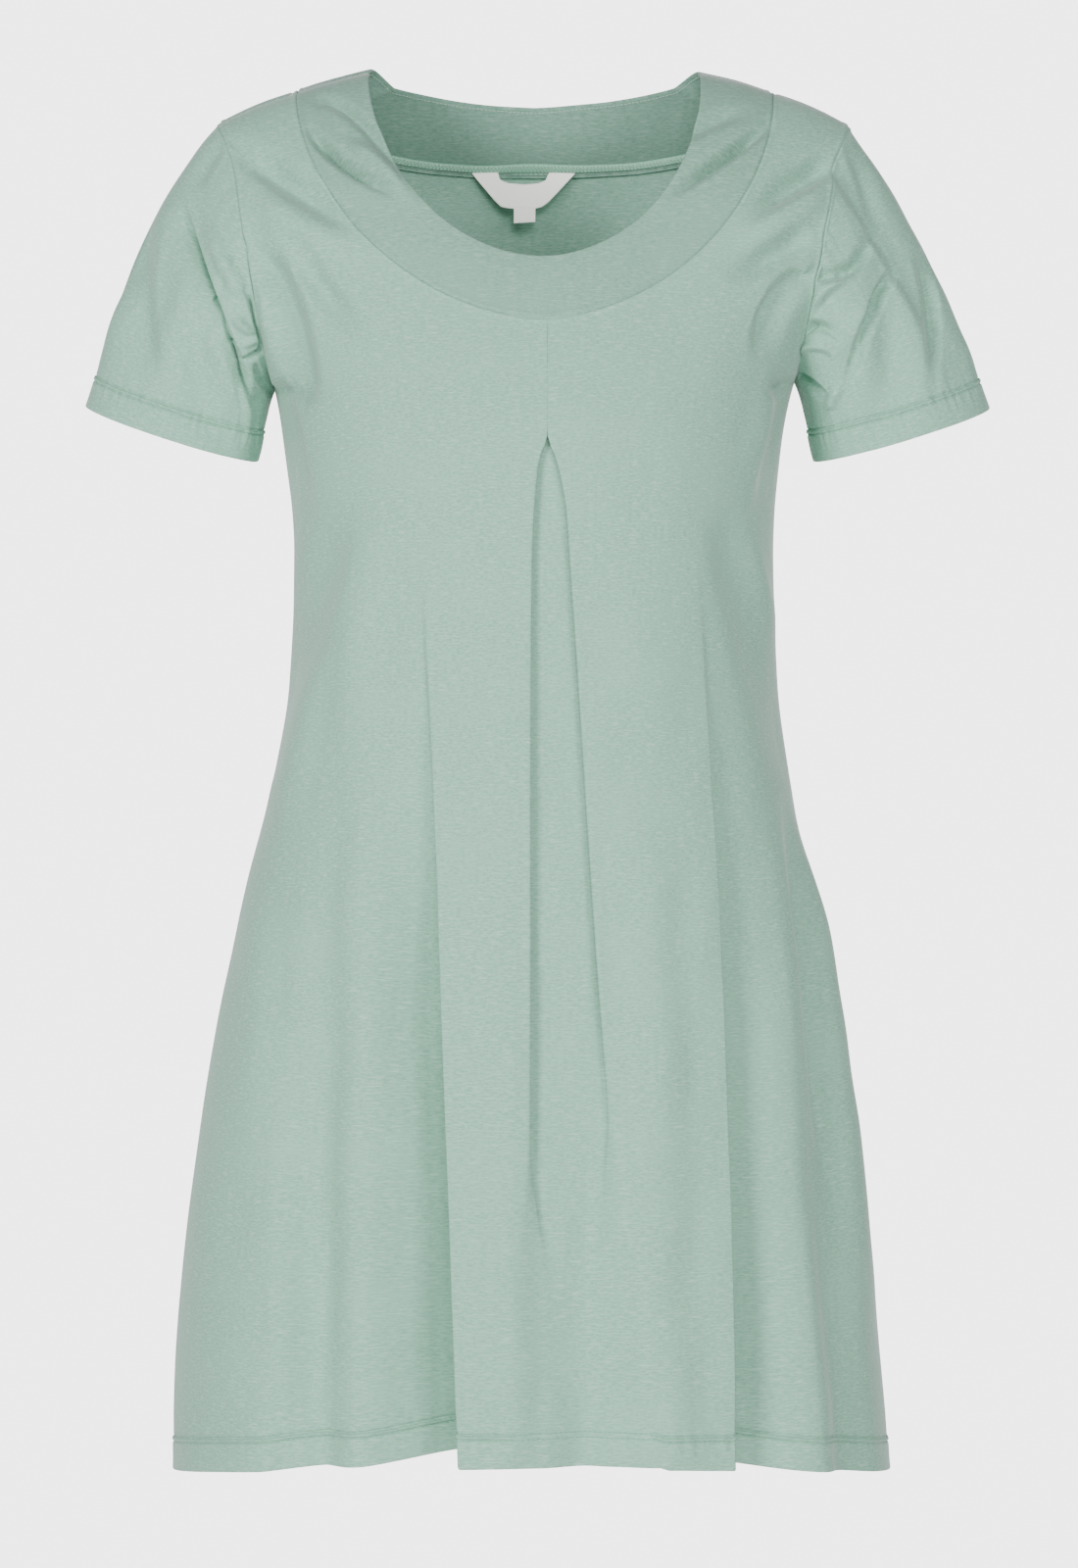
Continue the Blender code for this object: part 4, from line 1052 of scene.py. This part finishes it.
def neck_band(face):
    """A doubled neck band: up its outside from the seam, over the neck edge and down its inside."""
    places = places_in(FRONT_SPANS if face == FRONT else BACK_SPANS)
    tops = top_places(places, face)
    turns = np.unique(np.round(np.clip(tops[np.abs(tops) <= CORNER + 1e-9] / CORNER, -1.0, 1.0), 6))
    turns = np.sort(np.concatenate([turns, (turns[1:] + turns[:-1]) / 2.0]))
    lower_x, lower_z = band_line(turns, face)
    upper_x, upper_z = neck_line(turns, face)
    angles = []
    heights = []
    for row in range(BAND_CELLS + 1):
        share = row / BAND_CELLS
        share = 0.5 - 0.5 * math.cos(math.pi * share) if row else 0.0
        x = lower_x + (upper_x - lower_x) * share
        z = lower_z + (upper_z - lower_z) * share
        z = np.where(np.abs(turns) == 1.0, shoulder_height(x), z)
        angles.append(angle_at(x, z))
        heights.append(z)
    angles = np.array(angles)
    heights = np.array(heights)
    rows = body_point(angles, heights, face)
    seen_x, seen_z = as_seen(rows)
    creases = FRONT_CREASES if face == FRONT else BACK_CREASES
    fade = ease(np.cos(angles) / CREASE_FADE)
    dents = (crease_depth(creases, seen_x, seen_z) - ripple_height(seen_x, seen_z, YOKE_RIPPLE)) * fade
    rows = rows - body_normal(angles, heights, face) * dents[..., None]
    if face == BACK:
        roll_back(rows)
    v = run_along(rows, 0)
    middle = np.sin(math.pi * np.clip(v / v[-1:], 0.0, 1.0))
    band = Cloth(rows, np.stack([angles * CLOTH_GIRTH, heights], axis=-1), face)
    relief = seam_relief(v) + BAND_END_STRENGTH * side_relief(rows)
    band.push_in(relief - BAND_PUFF * middle**0.7 - BAND_PROUD)
    normals = band.normals()
    up = unit(band.rows[-1] - band.rows[-2])
    roll = rolled_edge(band.rows[-1], -normals[-1], up, BAND_WALL / 2.0, 8)
    slack = BACK_BAND_SLACK if face == BACK else FRONT_BAND_SLACK
    wall = BAND_WALL + slack * middle
    inside = (band.rows - normals * wall[..., None])[::-1][1:]
    band.add_rows(roll, inside, band.flat[::-1][1:])
    return band


def sleeve_cloth(sleeve, front_edge, back_edge):
    """A sleeve as a Cloth, from the armhole seam to the cuff edge."""
    side = sleeve.side
    front_half = even_steps(front_edge, front_edge, 0.0, SLEEVE_FRONT_CELLS)[0]
    back_half = even_steps(back_edge, back_edge, 0.0, SLEEVE_BACK_CELLS)[0]
    armhole = np.concatenate([front_half, back_half[-2:0:-1]])
    middle_start = armhole.mean(axis=0)
    count = len(armhole)
    share_round = np.arange(count) / count
    turn = np.concatenate(
        [
            np.linspace(0.0, math.pi, SLEEVE_FRONT_CELLS + 1),
            np.linspace(math.pi, 2.0 * math.pi, SLEEVE_BACK_CELLS + 1)[1:-1],
        ]
    )
    outer = np.array([side * sleeve.outer_x, SEAM_Y, sleeve.outer_z])
    inner = np.array([side * sleeve.inner_x, SEAM_Y, sleeve.inner_z])
    middle = (outer + inner) / 2.0
    to_front = np.array([0.0, -sleeve.half_depth, -sleeve.front_drop])
    axis = np.array([side * SLEEVE_AXIS_LEAN, 0.0, -math.sqrt(1.0 - SLEEVE_AXIS_LEAN**2)])
    end = middle + (outer - middle) * np.cos(turn)[:, None] + to_front * np.sin(turn)[:, None]
    top = (1.0 + np.cos(turn)) / 2.0
    spread = UNDERARM_SPREAD + sleeve.spread * top
    lead = unit(np.stack([side * spread, 0.0 * top, sleeve.level * top - 1.0], axis=-1))
    reach = np.linalg.norm(end - armhole, axis=1)[:, None]
    stations = np.linspace(0.0, 1.0, SLEEVE_CELLS + 1) ** SLEEVE_CROWDING
    degrees = (np.degrees(turn) + 180.0) % 360.0 - 180.0
    rings = []
    for t in stations:
        ring = (2 * t**3 - 3 * t**2 + 1) * armhole + (t**3 - 2 * t**2 + t) * lead * reach
        ring = ring + (3 * t**2 - 2 * t**3) * end + (t**3 - t**2) * axis * reach
        out = ring - (middle * t + middle_start * (1.0 - t))
        out = unit(out - axis * (out @ axis)[:, None])
        depth = np.zeros(count)
        for fold in SLEEVE_FOLDS[side]:
            line = fold.armhole + (fold.cuff - fold.armhole) * t
            strength = bell(t - fold.strongest, SLEEVE_FOLD_LENGTH) * float(ease(t * 5.0))
            depth += fold.depth * strength * hump(np.abs(degrees - line) / fold.reach)
        rings.append(ring - out * depth[:, None])
    rows = np.array(rings)
    rows = np.concatenate([rows, rows[:, :1]], axis=1)
    around = np.concatenate([share_round, [1.0]]) * SLEEVE_GIRTH
    flat = np.stack([np.broadcast_to(around, rows.shape[:2]), above_edge(rows)], axis=-1)
    rows, flat = with_hem_rows(rows, flat)
    along = run_along(rows, 0)
    cloth = Cloth(rows, flat, -side, closed=True)
    seen_x, seen_z = as_seen(rows)
    outward_y = cloth.normals()[..., 1]
    dents = np.zeros(along.shape)
    for face in (FRONT, BACK):
        dents += crease_depth(SLEEVE_CREASES[side, face], seen_x, seen_z) * ease(face * outward_y * 2.2)
    dents -= ripple_height(seen_x * 1.6, seen_z, SLEEVE_RIPPLE)
    dents *= ease(along / SLEEVE_SEAM_FADE)
    gathers = np.sin(around * 2.0 * math.pi * GATHERS_PER_METRE + 1.5 * np.sin(around * 51.0))
    dents += GATHER_HEIGHT * gathers * bell(along, GATHER_REACH) * ease(along / 0.004)
    cloth.push_in(dents)
    above = above_edge(cloth.rows)
    hem = hem_relief(above, np.broadcast_to(around, above.shape))
    cloth.push_in(seam_relief(run_along(cloth.rows, 0)) + hem)
    return cloth


def line_above_edge(cloth, distance):
    """Points and outward directions along a cloth, at a distance above its last row."""
    above = above_edge(cloth.rows)
    distance = np.broadcast_to(distance, above.shape[1])
    lower = np.argmax(above < distance, axis=0)
    columns = np.arange(above.shape[1])
    high = above[lower - 1, columns]
    t = ((high - distance) / (high - above[lower, columns]))[:, None]
    normals = cloth.normals()
    points = cloth.rows[lower - 1, columns] * (1 - t) + cloth.rows[lower, columns] * t
    outward = normals[lower - 1, columns] * (1 - t) + normals[lower, columns] * t
    return points, unit(outward)


def even_steps(points, outward, step, count=0):
    """The same line with points at even steps."""
    along = run_along(points[None], 1)[0]
    count = count or max(int(along[-1] / step), 1)
    at = np.linspace(0.0, along[-1], count + 1)
    even = np.stack([np.interp(at, along, points[:, k]) for k in range(3)], axis=-1)
    even_outward = np.stack([np.interp(at, along, outward[:, k]) for k in range(3)], axis=-1)
    return even, unit(even_outward)


def stitches(name, runs, material):
    """Short raised threads. Each run is a pair of arrays: points, and directions out of the cloth.
    A thread goes from every point of a run to the next, rising in the middle."""
    vertices = []
    faces = []
    stations = ((0.0, -0.5, 0.5), (0.12, 0.5, 1.0), (0.5, 1.0, 1.0), (0.88, 0.5, 1.0), (1.0, -0.5, 0.5))
    for points, outward in runs:
        for a, b, out in zip(points, points[1:], outward):
            along = b - a
            length = np.linalg.norm(along)
            along = along / length
            a = a + along * STITCH_GAP / 2.0
            length -= STITCH_GAP
            sideways = np.cross(along, out)
            first = len(vertices)
            for share, rise, swell in stations:
                middle = a + along * length * share + out * THREAD_RADIUS * rise
                for k in range(STITCH_SIDES):
                    turn = 2.0 * math.pi * k / STITCH_SIDES
                    around = sideways * math.cos(turn) + out * math.sin(turn)
                    vertices.append(middle + around * THREAD_RADIUS * swell)
            for ring in range(len(stations) - 1):
                for k in range(STITCH_SIDES):
                    low = first + ring * STITCH_SIDES
                    near, far = low + k, low + (k + 1) % STITCH_SIDES
                    faces.append((near, near + STITCH_SIDES, far + STITCH_SIDES, far))
            last = first + (len(stations) - 1) * STITCH_SIDES
            faces.append(tuple(range(first, first + STITCH_SIDES)))
            faces.append(tuple(range(last + STITCH_SIDES - 1, last - 1, -1)))
    return place_mesh(name, [tuple(v) for v in vertices], faces, material)


def hem_stitches(name, cloth, material):
    """The two rows of a twin-needle hem."""
    runs = [even_steps(*line_above_edge(cloth, row), STITCH_LENGTH + STITCH_GAP) for row in STITCH_ROWS]
    return stitches(name, runs, material)


def overlock_strip(band, face):
    """The overlocked seam allowance pressed up against the inside of a neck band."""
    rows = []
    flats = []
    for share in np.linspace(0.0, 1.0, 9):
        points, outward = line_above_edge(band, OVERLOCK_START + OVERLOCK_WIDTH * share)
        thickness = OVERLOCK_WALL + OVERLOCK_PUFF * math.sin(math.pi * share) ** 0.6
        rows.append(points + outward * thickness)
        up = np.full(len(points), share * OVERLOCK_WIDTH)
        flats.append(np.stack([run_along(points[None], 1)[0], up], axis=-1))
    return Cloth(np.array(rows), np.array(flats), -face)


def overlock_stitches(name, strip, material):
    """Threads looped over the strip, and a row of stitching along each of its edges."""
    normals = strip.normals()
    low, out = even_steps(strip.rows[1], normals[1], OVERLOCK_PITCH)
    count = len(low) - 1
    lines = []
    for k in (1, 3, 5, 7):
        raised = strip.rows[k] + OVERLOCK_THREAD_RISE * normals[k]
        lines.append(even_steps(raised, normals[k], 0.0, count)[0])
    runs = []
    for i in range(count):
        outward = np.repeat(out[i : i + 1], 3, axis=0)
        middle = (lines[2][i] + lines[2][i + 1]) / 2.0
        runs.append((np.array([line[i] for line in lines]), outward))
        runs.append((np.array([lines[3][i], middle, lines[1][i + 1], lines[0][i + 1]]), outward))
    for k in (1, -2):
        runs.append(even_steps(strip.rows[k], normals[k], STITCH_LENGTH + STITCH_GAP))
    return stitches(name, runs, material)


def neck_edge_stitches(name, band, material):
    """The fine row that holds the neck edge of the band, seen inside."""
    inner = run_along(band.rows[-BAND_CELLS - 1 :], 0)[-1]
    line = line_above_edge(band, inner - NECK_EDGE_ROW)
    return stitches(name, [even_steps(*line, STITCH_LENGTH * 0.8 + STITCH_GAP)], material)


def link_nodes(tree, *pairs):
    """Joins sockets of a node tree."""
    for output, socket in pairs:
        tree.links.new(output, socket)


def add_node(tree, kind, inputs=None, **fields):
    """A node with its own settings."""
    node = tree.nodes.new(kind)
    for field, value in fields.items():
        setattr(node, field, value)
    for socket, value in (inputs or {}).items():
        node.inputs[socket].default_value = value
    return node


def new_material(name, settings):
    """A material with its node tree and shader."""
    material = bpy.data.materials.new(name)
    material.use_nodes = True
    shader = material.node_tree.nodes["Principled BSDF"]
    for socket, value in settings.items():
        shader.inputs[socket].default_value = value
    return material, material.node_tree, shader


def noise_node(tree, vector, across, down, detail):
    """Noise stretched along the cloth's courses: features per metre across and down."""
    scaled = add_node(tree, "ShaderNodeMapping", {"Scale": (across, down, 1.0)})
    noise = add_node(tree, "ShaderNodeTexNoise", {"Scale": 1.0, "Detail": detail}, noise_dimensions="2D")
    link_nodes(tree, (vector, scaled.inputs["Vector"]), (scaled.outputs["Vector"], noise.inputs["Vector"]))
    return noise.outputs["Fac"]


def mixed(tree, factor, low, high, first, second):
    """first where the factor is below low, second where it is above high."""
    spread = add_node(tree, "ShaderNodeMapRange", {"From Min": low, "From Max": high})
    mix = add_node(tree, "ShaderNodeMix", data_type="RGBA")
    colours = [s for s in mix.inputs if s.name in ("A", "B") and s.type == "RGBA"]
    for socket, value in zip(colours, (first, second)):
        if hasattr(value, "is_output"):
            tree.links.new(value, socket)
        else:
            socket.default_value = value
    link_nodes(tree, (factor, spread.inputs["Value"]), (spread.outputs["Result"], mix.inputs["Factor"]))
    return [s for s in mix.outputs if s.type == "RGBA"][0]


# Yarns of the melange: mint, pale slub, deep and warm
MELANGE = ((0.285, 0.515, 0.404), (0.360, 0.585, 0.478), (0.207, 0.412, 0.310), (0.318, 0.540, 0.378))
JERSEY_SURFACE = {
    "Roughness": 0.88,
    "Specular IOR Level": 0.25,
    "Sheen Weight": 0.42,
    "Sheen Roughness": 0.35,
    "Sheen Tint": (1.0, 0.93, 0.98, 1.0),
}


def jersey_material(name, tone):
    """Melange jersey: mint yarn with paler, deeper and warmer slubs along the courses."""
    mint, slub, deep, warm = (tuple(c * tone for c in colour) + (1.0,) for colour in MELANGE)
    material, tree, shader = new_material(name, JERSEY_SURFACE)
    uv = add_node(tree, "ShaderNodeUVMap", uv_map="cloth").outputs["UV"]
    streak = noise_node(tree, uv, 290.0, 1200.0, 2.0)
    long_slub = noise_node(tree, uv, 110.0, 1000.0, 3.0)
    short_slub = noise_node(tree, uv, 500.0, 1500.0, 1.0)
    cloud = noise_node(tree, uv, 9.0, 22.0, 2.0)
    knit = noise_node(tree, uv, 1500.0, 1100.0, 0.0)
    colour = mixed(tree, streak, 0.34, 0.66, deep, mint)
    colour = mixed(tree, long_slub, 0.56, 0.72, colour, slub)
    colour = mixed(tree, short_slub, 0.60, 0.74, colour, warm)
    shade = mixed(tree, cloud, 0.45, 1.20, colour, mint)
    bump = add_node(tree, "ShaderNodeBump", {"Strength": 0.35, "Distance": 0.00012})
    fine = add_node(tree, "ShaderNodeBump", {"Strength": 0.25, "Distance": 0.00010})
    link_nodes(
        tree,
        (shade, shader.inputs["Base Color"]),
        (long_slub, bump.inputs["Height"]),
        (knit, fine.inputs["Height"]),
        (bump.outputs["Normal"], fine.inputs["Normal"]),
        (fine.outputs["Normal"], shader.inputs["Normal"]),
    )
    return material


def thread_material(name, colour):
    """Sewing thread: twisted strands along the stitch."""
    material, tree, shader = new_material(name, {"Roughness": 0.6, "Sheen Weight": 0.3})
    place = add_node(tree, "ShaderNodeTexCoord")
    strands = add_node(tree, "ShaderNodeTexNoise", {"Scale": 2600.0})
    paler = tuple(min(1.0, c * 1.18) for c in colour[:3]) + (1.0,)
    shade = mixed(tree, strands.outputs["Fac"], 0.35, 0.65, colour, paler)
    link_nodes(
        tree,
        (place.outputs["Object"], strands.inputs["Vector"]),
        (shade, shader.inputs["Base Color"]),
    )
    return material


def label_material(name):
    """Off-white woven tape with a fine weave. It glows with its own colour: painted light that brightens it
    where it hangs in shade inside the neck.
    """
    # The emission is painted light: the label glows with its own colour, though it is no lamp.
    surface = {"Roughness": 0.55, "Sheen Weight": 0.2, "Emission Strength": 0.30}
    material, tree, shader = new_material(name, surface)
    place = add_node(tree, "ShaderNodeTexCoord").outputs["Object"]
    weave = add_node(tree, "ShaderNodeTexChecker", {"Scale": 2400.0})
    warp = add_node(tree, "ShaderNodeTexNoise", {"Scale": 700.0})
    bump = add_node(tree, "ShaderNodeBump", {"Strength": 0.3, "Distance": 0.00008})
    colour = mixed(tree, warp.outputs["Fac"], 0.3, 0.7, (0.95, 0.93, 0.89, 1.0), (1.0, 0.985, 0.955, 1.0))
    link_nodes(
        tree,
        (place, weave.inputs["Vector"]),
        (place, warp.inputs["Vector"]),
        (colour, shader.inputs["Base Color"]),
        (colour, shader.inputs["Emission Color"]),
        (weave.outputs["Fac"], bump.inputs["Height"]),
        (bump.outputs["Normal"], shader.inputs["Normal"]),
    )
    return material


def label_sheet(name, top, bottom, across, material):
    """A woven piece hanging inside the back, between its top and bottom outlines."""
    x = np.linspace(*across, 61)
    high = np.interp(x, *zip(*top))
    low = np.interp(x, *zip(*bottom))
    top_z = np.full(x.shape, LABEL_TOP_Z)
    start_y = body_point(angle_at(x, top_z), top_z, BACK)[:, 1] - BAND_WALL - LABEL_GAP
    rows = []
    for share in np.linspace(0.0, 1.0, 15):
        z = high + (low - high) * share
        drop = LABEL_TOP_Z - z
        y = start_y - LABEL_CURL * (drop / LABEL_DROP) ** 2 + LABEL_LEAN * drop
        y = y + LABEL_WAVE * np.sin(x * 130.0) * drop / LABEL_DROP
        rows.append(np.stack([x, y, z], axis=-1))
    rows = np.array(rows)
    sheet = Cloth(rows, rows[..., [0, 2]], -1)
    piece = sheet.make(name, material)
    wall = piece.modifiers.new("wall", "SOLIDIFY")
    wall.thickness = LABEL_WALL
    return piece


def label_pieces(material):
    """The bare label and its size tab."""
    def placed(points):
        return [(LABEL_X + LABEL_HALF_WIDTH * x, LABEL_TOP_Z + LABEL_DROP * z) for x, z in points]

    left = LABEL_X - 0.45 * TAB_WIDTH
    right = left + TAB_WIDTH
    tab_top = LABEL_TOP_Z - LABEL_DROP * 0.94
    tab_bottom = tab_top - TAB_DROP - LABEL_DROP * 0.06
    label = label_sheet(
        "neck_label_weave", placed(LABEL_TOP), placed(LABEL_BOTTOM),
        (LABEL_X - LABEL_HALF_WIDTH, LABEL_X + LABEL_HALF_WIDTH), material,
    )
    tab = label_sheet(
        "size_tab_weave",
        [(left, tab_top), (right, tab_top)],
        [(left, tab_bottom - 0.0006), (right, tab_bottom + 0.0004)],
        (left, right), material,
    )
    tab.location.y = -LABEL_WALL * 1.3
    return label, tab


def declare(piece, node):
    """Hangs a cloth piece on the root body and hides the part of the model that it stands in for."""
    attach(piece, "root")
    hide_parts(node)


def ride_only(piece):
    """Says that a small piece goes with the dress."""
    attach(piece, "root")


def softbox(name, location, target, size, power):
    """A large soft studio light."""
    light = bpy.data.lights.new(name, "AREA")
    light.shape = "RECTANGLE"
    light.size, light.size_y = size
    light.energy = power
    lamp = bpy.data.objects.new(name, light)
    lamp.location = location
    direction = Vector(target) - Vector(location)
    lamp.rotation_euler = direction.to_track_quat("-Z", "Y").to_euler()
    bpy.context.scene.collection.objects.link(lamp)


def surroundings():
    """White studio walls: brightest behind the dress, dimmer in front of it and above."""
    world = bpy.data.worlds.new("studio")
    world.use_nodes = True
    tree = world.node_tree
    background = tree.nodes["Background"]
    place = add_node(tree, "ShaderNodeTexCoord")
    split = add_node(tree, "ShaderNodeSeparateXYZ")
    walls = {"From Min": -0.2, "From Max": 0.7, "To Min": WALL_LIGHT, "To Max": BACKDROP_LIGHT}
    behind = add_node(tree, "ShaderNodeMapRange", walls, interpolation_type="SMOOTHSTEP")
    ceiling = {"From Min": 0.0, "From Max": 0.8, "To Min": 1.0, "To Max": CEILING_SHARE}
    overhead = add_node(tree, "ShaderNodeMapRange", ceiling, interpolation_type="SMOOTHSTEP")
    dimmed = add_node(tree, "ShaderNodeMath", operation="MULTIPLY")
    seen = add_node(tree, "ShaderNodeLightPath")
    chosen = add_node(tree, "ShaderNodeMix", {"B": PAPER_LIGHT})
    link_nodes(
        tree,
        (place.outputs["Generated"], split.inputs["Vector"]),
        (split.outputs["Y"], behind.inputs["Value"]),
        (split.outputs["Z"], overhead.inputs["Value"]),
        (behind.outputs["Result"], dimmed.inputs[0]),
        (overhead.outputs["Result"], dimmed.inputs[1]),
        (dimmed.outputs["Value"], chosen.inputs["A"]),
        (seen.outputs["Is Camera Ray"], chosen.inputs["Factor"]),
        (chosen.outputs["Result"], background.inputs["Strength"]),
    )
    background.inputs["Color"].default_value = (1.0, 1.0, 1.0, 1.0)
    bpy.context.scene.world = world


def floor():
    """A round of pale paper under the dress."""
    surface = {"Base Color": (0.82, 0.82, 0.82, 1.0), "Roughness": 1.0, "Specular IOR Level": 0.0}
    material = new_material("floor_paper", surface)[0]
    place = (0.0, 0.0, FLOOR_Z)
    bpy.ops.mesh.primitive_circle_add(vertices=128, radius=FLOOR_RADIUS, fill_type="NGON", location=place)
    paper = bpy.context.object
    paper.name = "floor"
    paper.data.materials.append(material)


def studio():
    """Pale floor, pale surroundings, soft lights and the camera."""
    surroundings()
    floor()
    middle = (0.0, 0.0, -0.45)
    for light in LIGHTS:
        softbox(light.name, (light.x, light.y, light.z), middle, (light.width, light.height), light.power)
    camera_data = bpy.data.cameras.new("camera")
    camera_data.sensor_width = 36.0
    camera_data.lens = 18.0 / (PICTURE_HEIGHT / 2.0 / CAMERA_DISTANCE)
    camera = bpy.data.objects.new("camera", camera_data)
    camera.location = (CAMERA_X, -CAMERA_DISTANCE, CAMERA_Z)
    camera.rotation_euler = (math.radians(90.0), 0.0, 0.0)
    bpy.context.scene.collection.objects.link(camera)
    bpy.context.scene.camera = camera


def dress():
    """Makes every piece, hangs it on the root body, and hides the parts of the model that the cloth pieces
    stand in for.
    """
    jersey = jersey_material("mint_jersey_melange", 1.0)
    band_jersey = jersey_material("mint_jersey_band", 0.83)
    # A darker copy of the band jersey: painted shade for the inside layer of the neck bands.
    band_painted_shade = jersey_material("mint_jersey_band_painted_shade", 0.72)
    thread = thread_material("mint_thread", (0.350, 0.530, 0.440, 1.0))
    green_thread = thread_material("overlock_thread", (0.225, 0.500, 0.350, 1.0))
    pale_thread = thread_material("pale_overlock_thread", (0.440, 0.700, 0.560, 1.0))
    hem_thread = thread_material("hem_thread", (0.165, 0.400, 0.275, 1.0))
    woven = label_material("woven_label_bare")

    front = panel(FRONT, FRONT_FOLDS, FRONT_CREASES)
    back = panel(BACK, BACK_FOLDS, BACK_CREASES)
    edges = {
        LEFT: (front.rows[: YOKE_CELLS + 1, 0], back.rows[: YOKE_CELLS + 1, 0]),
        RIGHT: (front.rows[: YOKE_CELLS + 1, -1], back.rows[: YOKE_CELLS + 1, -1]),
    }
    for face, name, cloth, node, flat, area in (
        (FRONT, "front_cloth", front, "front_panel", (0.70, 0.86), 0.48),
        (BACK, "back_cloth", back, "back_panel", (0.66, 0.88), 0.45),
    ):
        sewing = hem_stitches(name.replace("cloth", "hem_stitches"), cloth, hem_thread)
        ride_only(sewing)
        cloth.add_hem()
        cloth.add_allowance(face)
        piece = cloth.make(name, jersey)
        declare(piece, node)
    for sleeve in SLEEVES:
        name = "left_sleeve" if sleeve.side == LEFT else "right_sleeve"
        cloth = sleeve_cloth(sleeve, *edges[sleeve.side])
        sewing = hem_stitches(name + "_hem_stitches", cloth, hem_thread)
        ride_only(sewing)
        cloth.add_hem()
        cloth.add_allowance()
        piece = cloth.make(name + "_cloth", jersey)
        declare(piece, name)
    for face, name in ((FRONT, "front_neck_band"), (BACK, "back_neck_band")):
        band = neck_band(face)
        strip = overlock_strip(band, face)
        sewing = [
            strip.make(name + "_overlock", green_thread),
            overlock_stitches(name + "_overlock_thread", strip, pale_thread),
            neck_edge_stitches(name + "_edge_thread", band, thread),
        ]
        for extra in sewing:
            ride_only(extra)
        if face == BACK:
            band.lap_edge(BACK_BAND_LAP)
        # The band's inside rows, from just past its neck edge, take the darker copy: painted shade.
        piece = band.make(name + "_cloth", band_jersey, band_painted_shade, BAND_CELLS + 4)
        flat, area = ((0.50, 0.13), 0.044) if face == FRONT else ((0.40, 0.11), 0.034)
        declare(piece, name)
    label, tab = label_pieces(woven)
    declare(label, "neck_label")
    declare(tab, "size_tab")


dress()
studio()
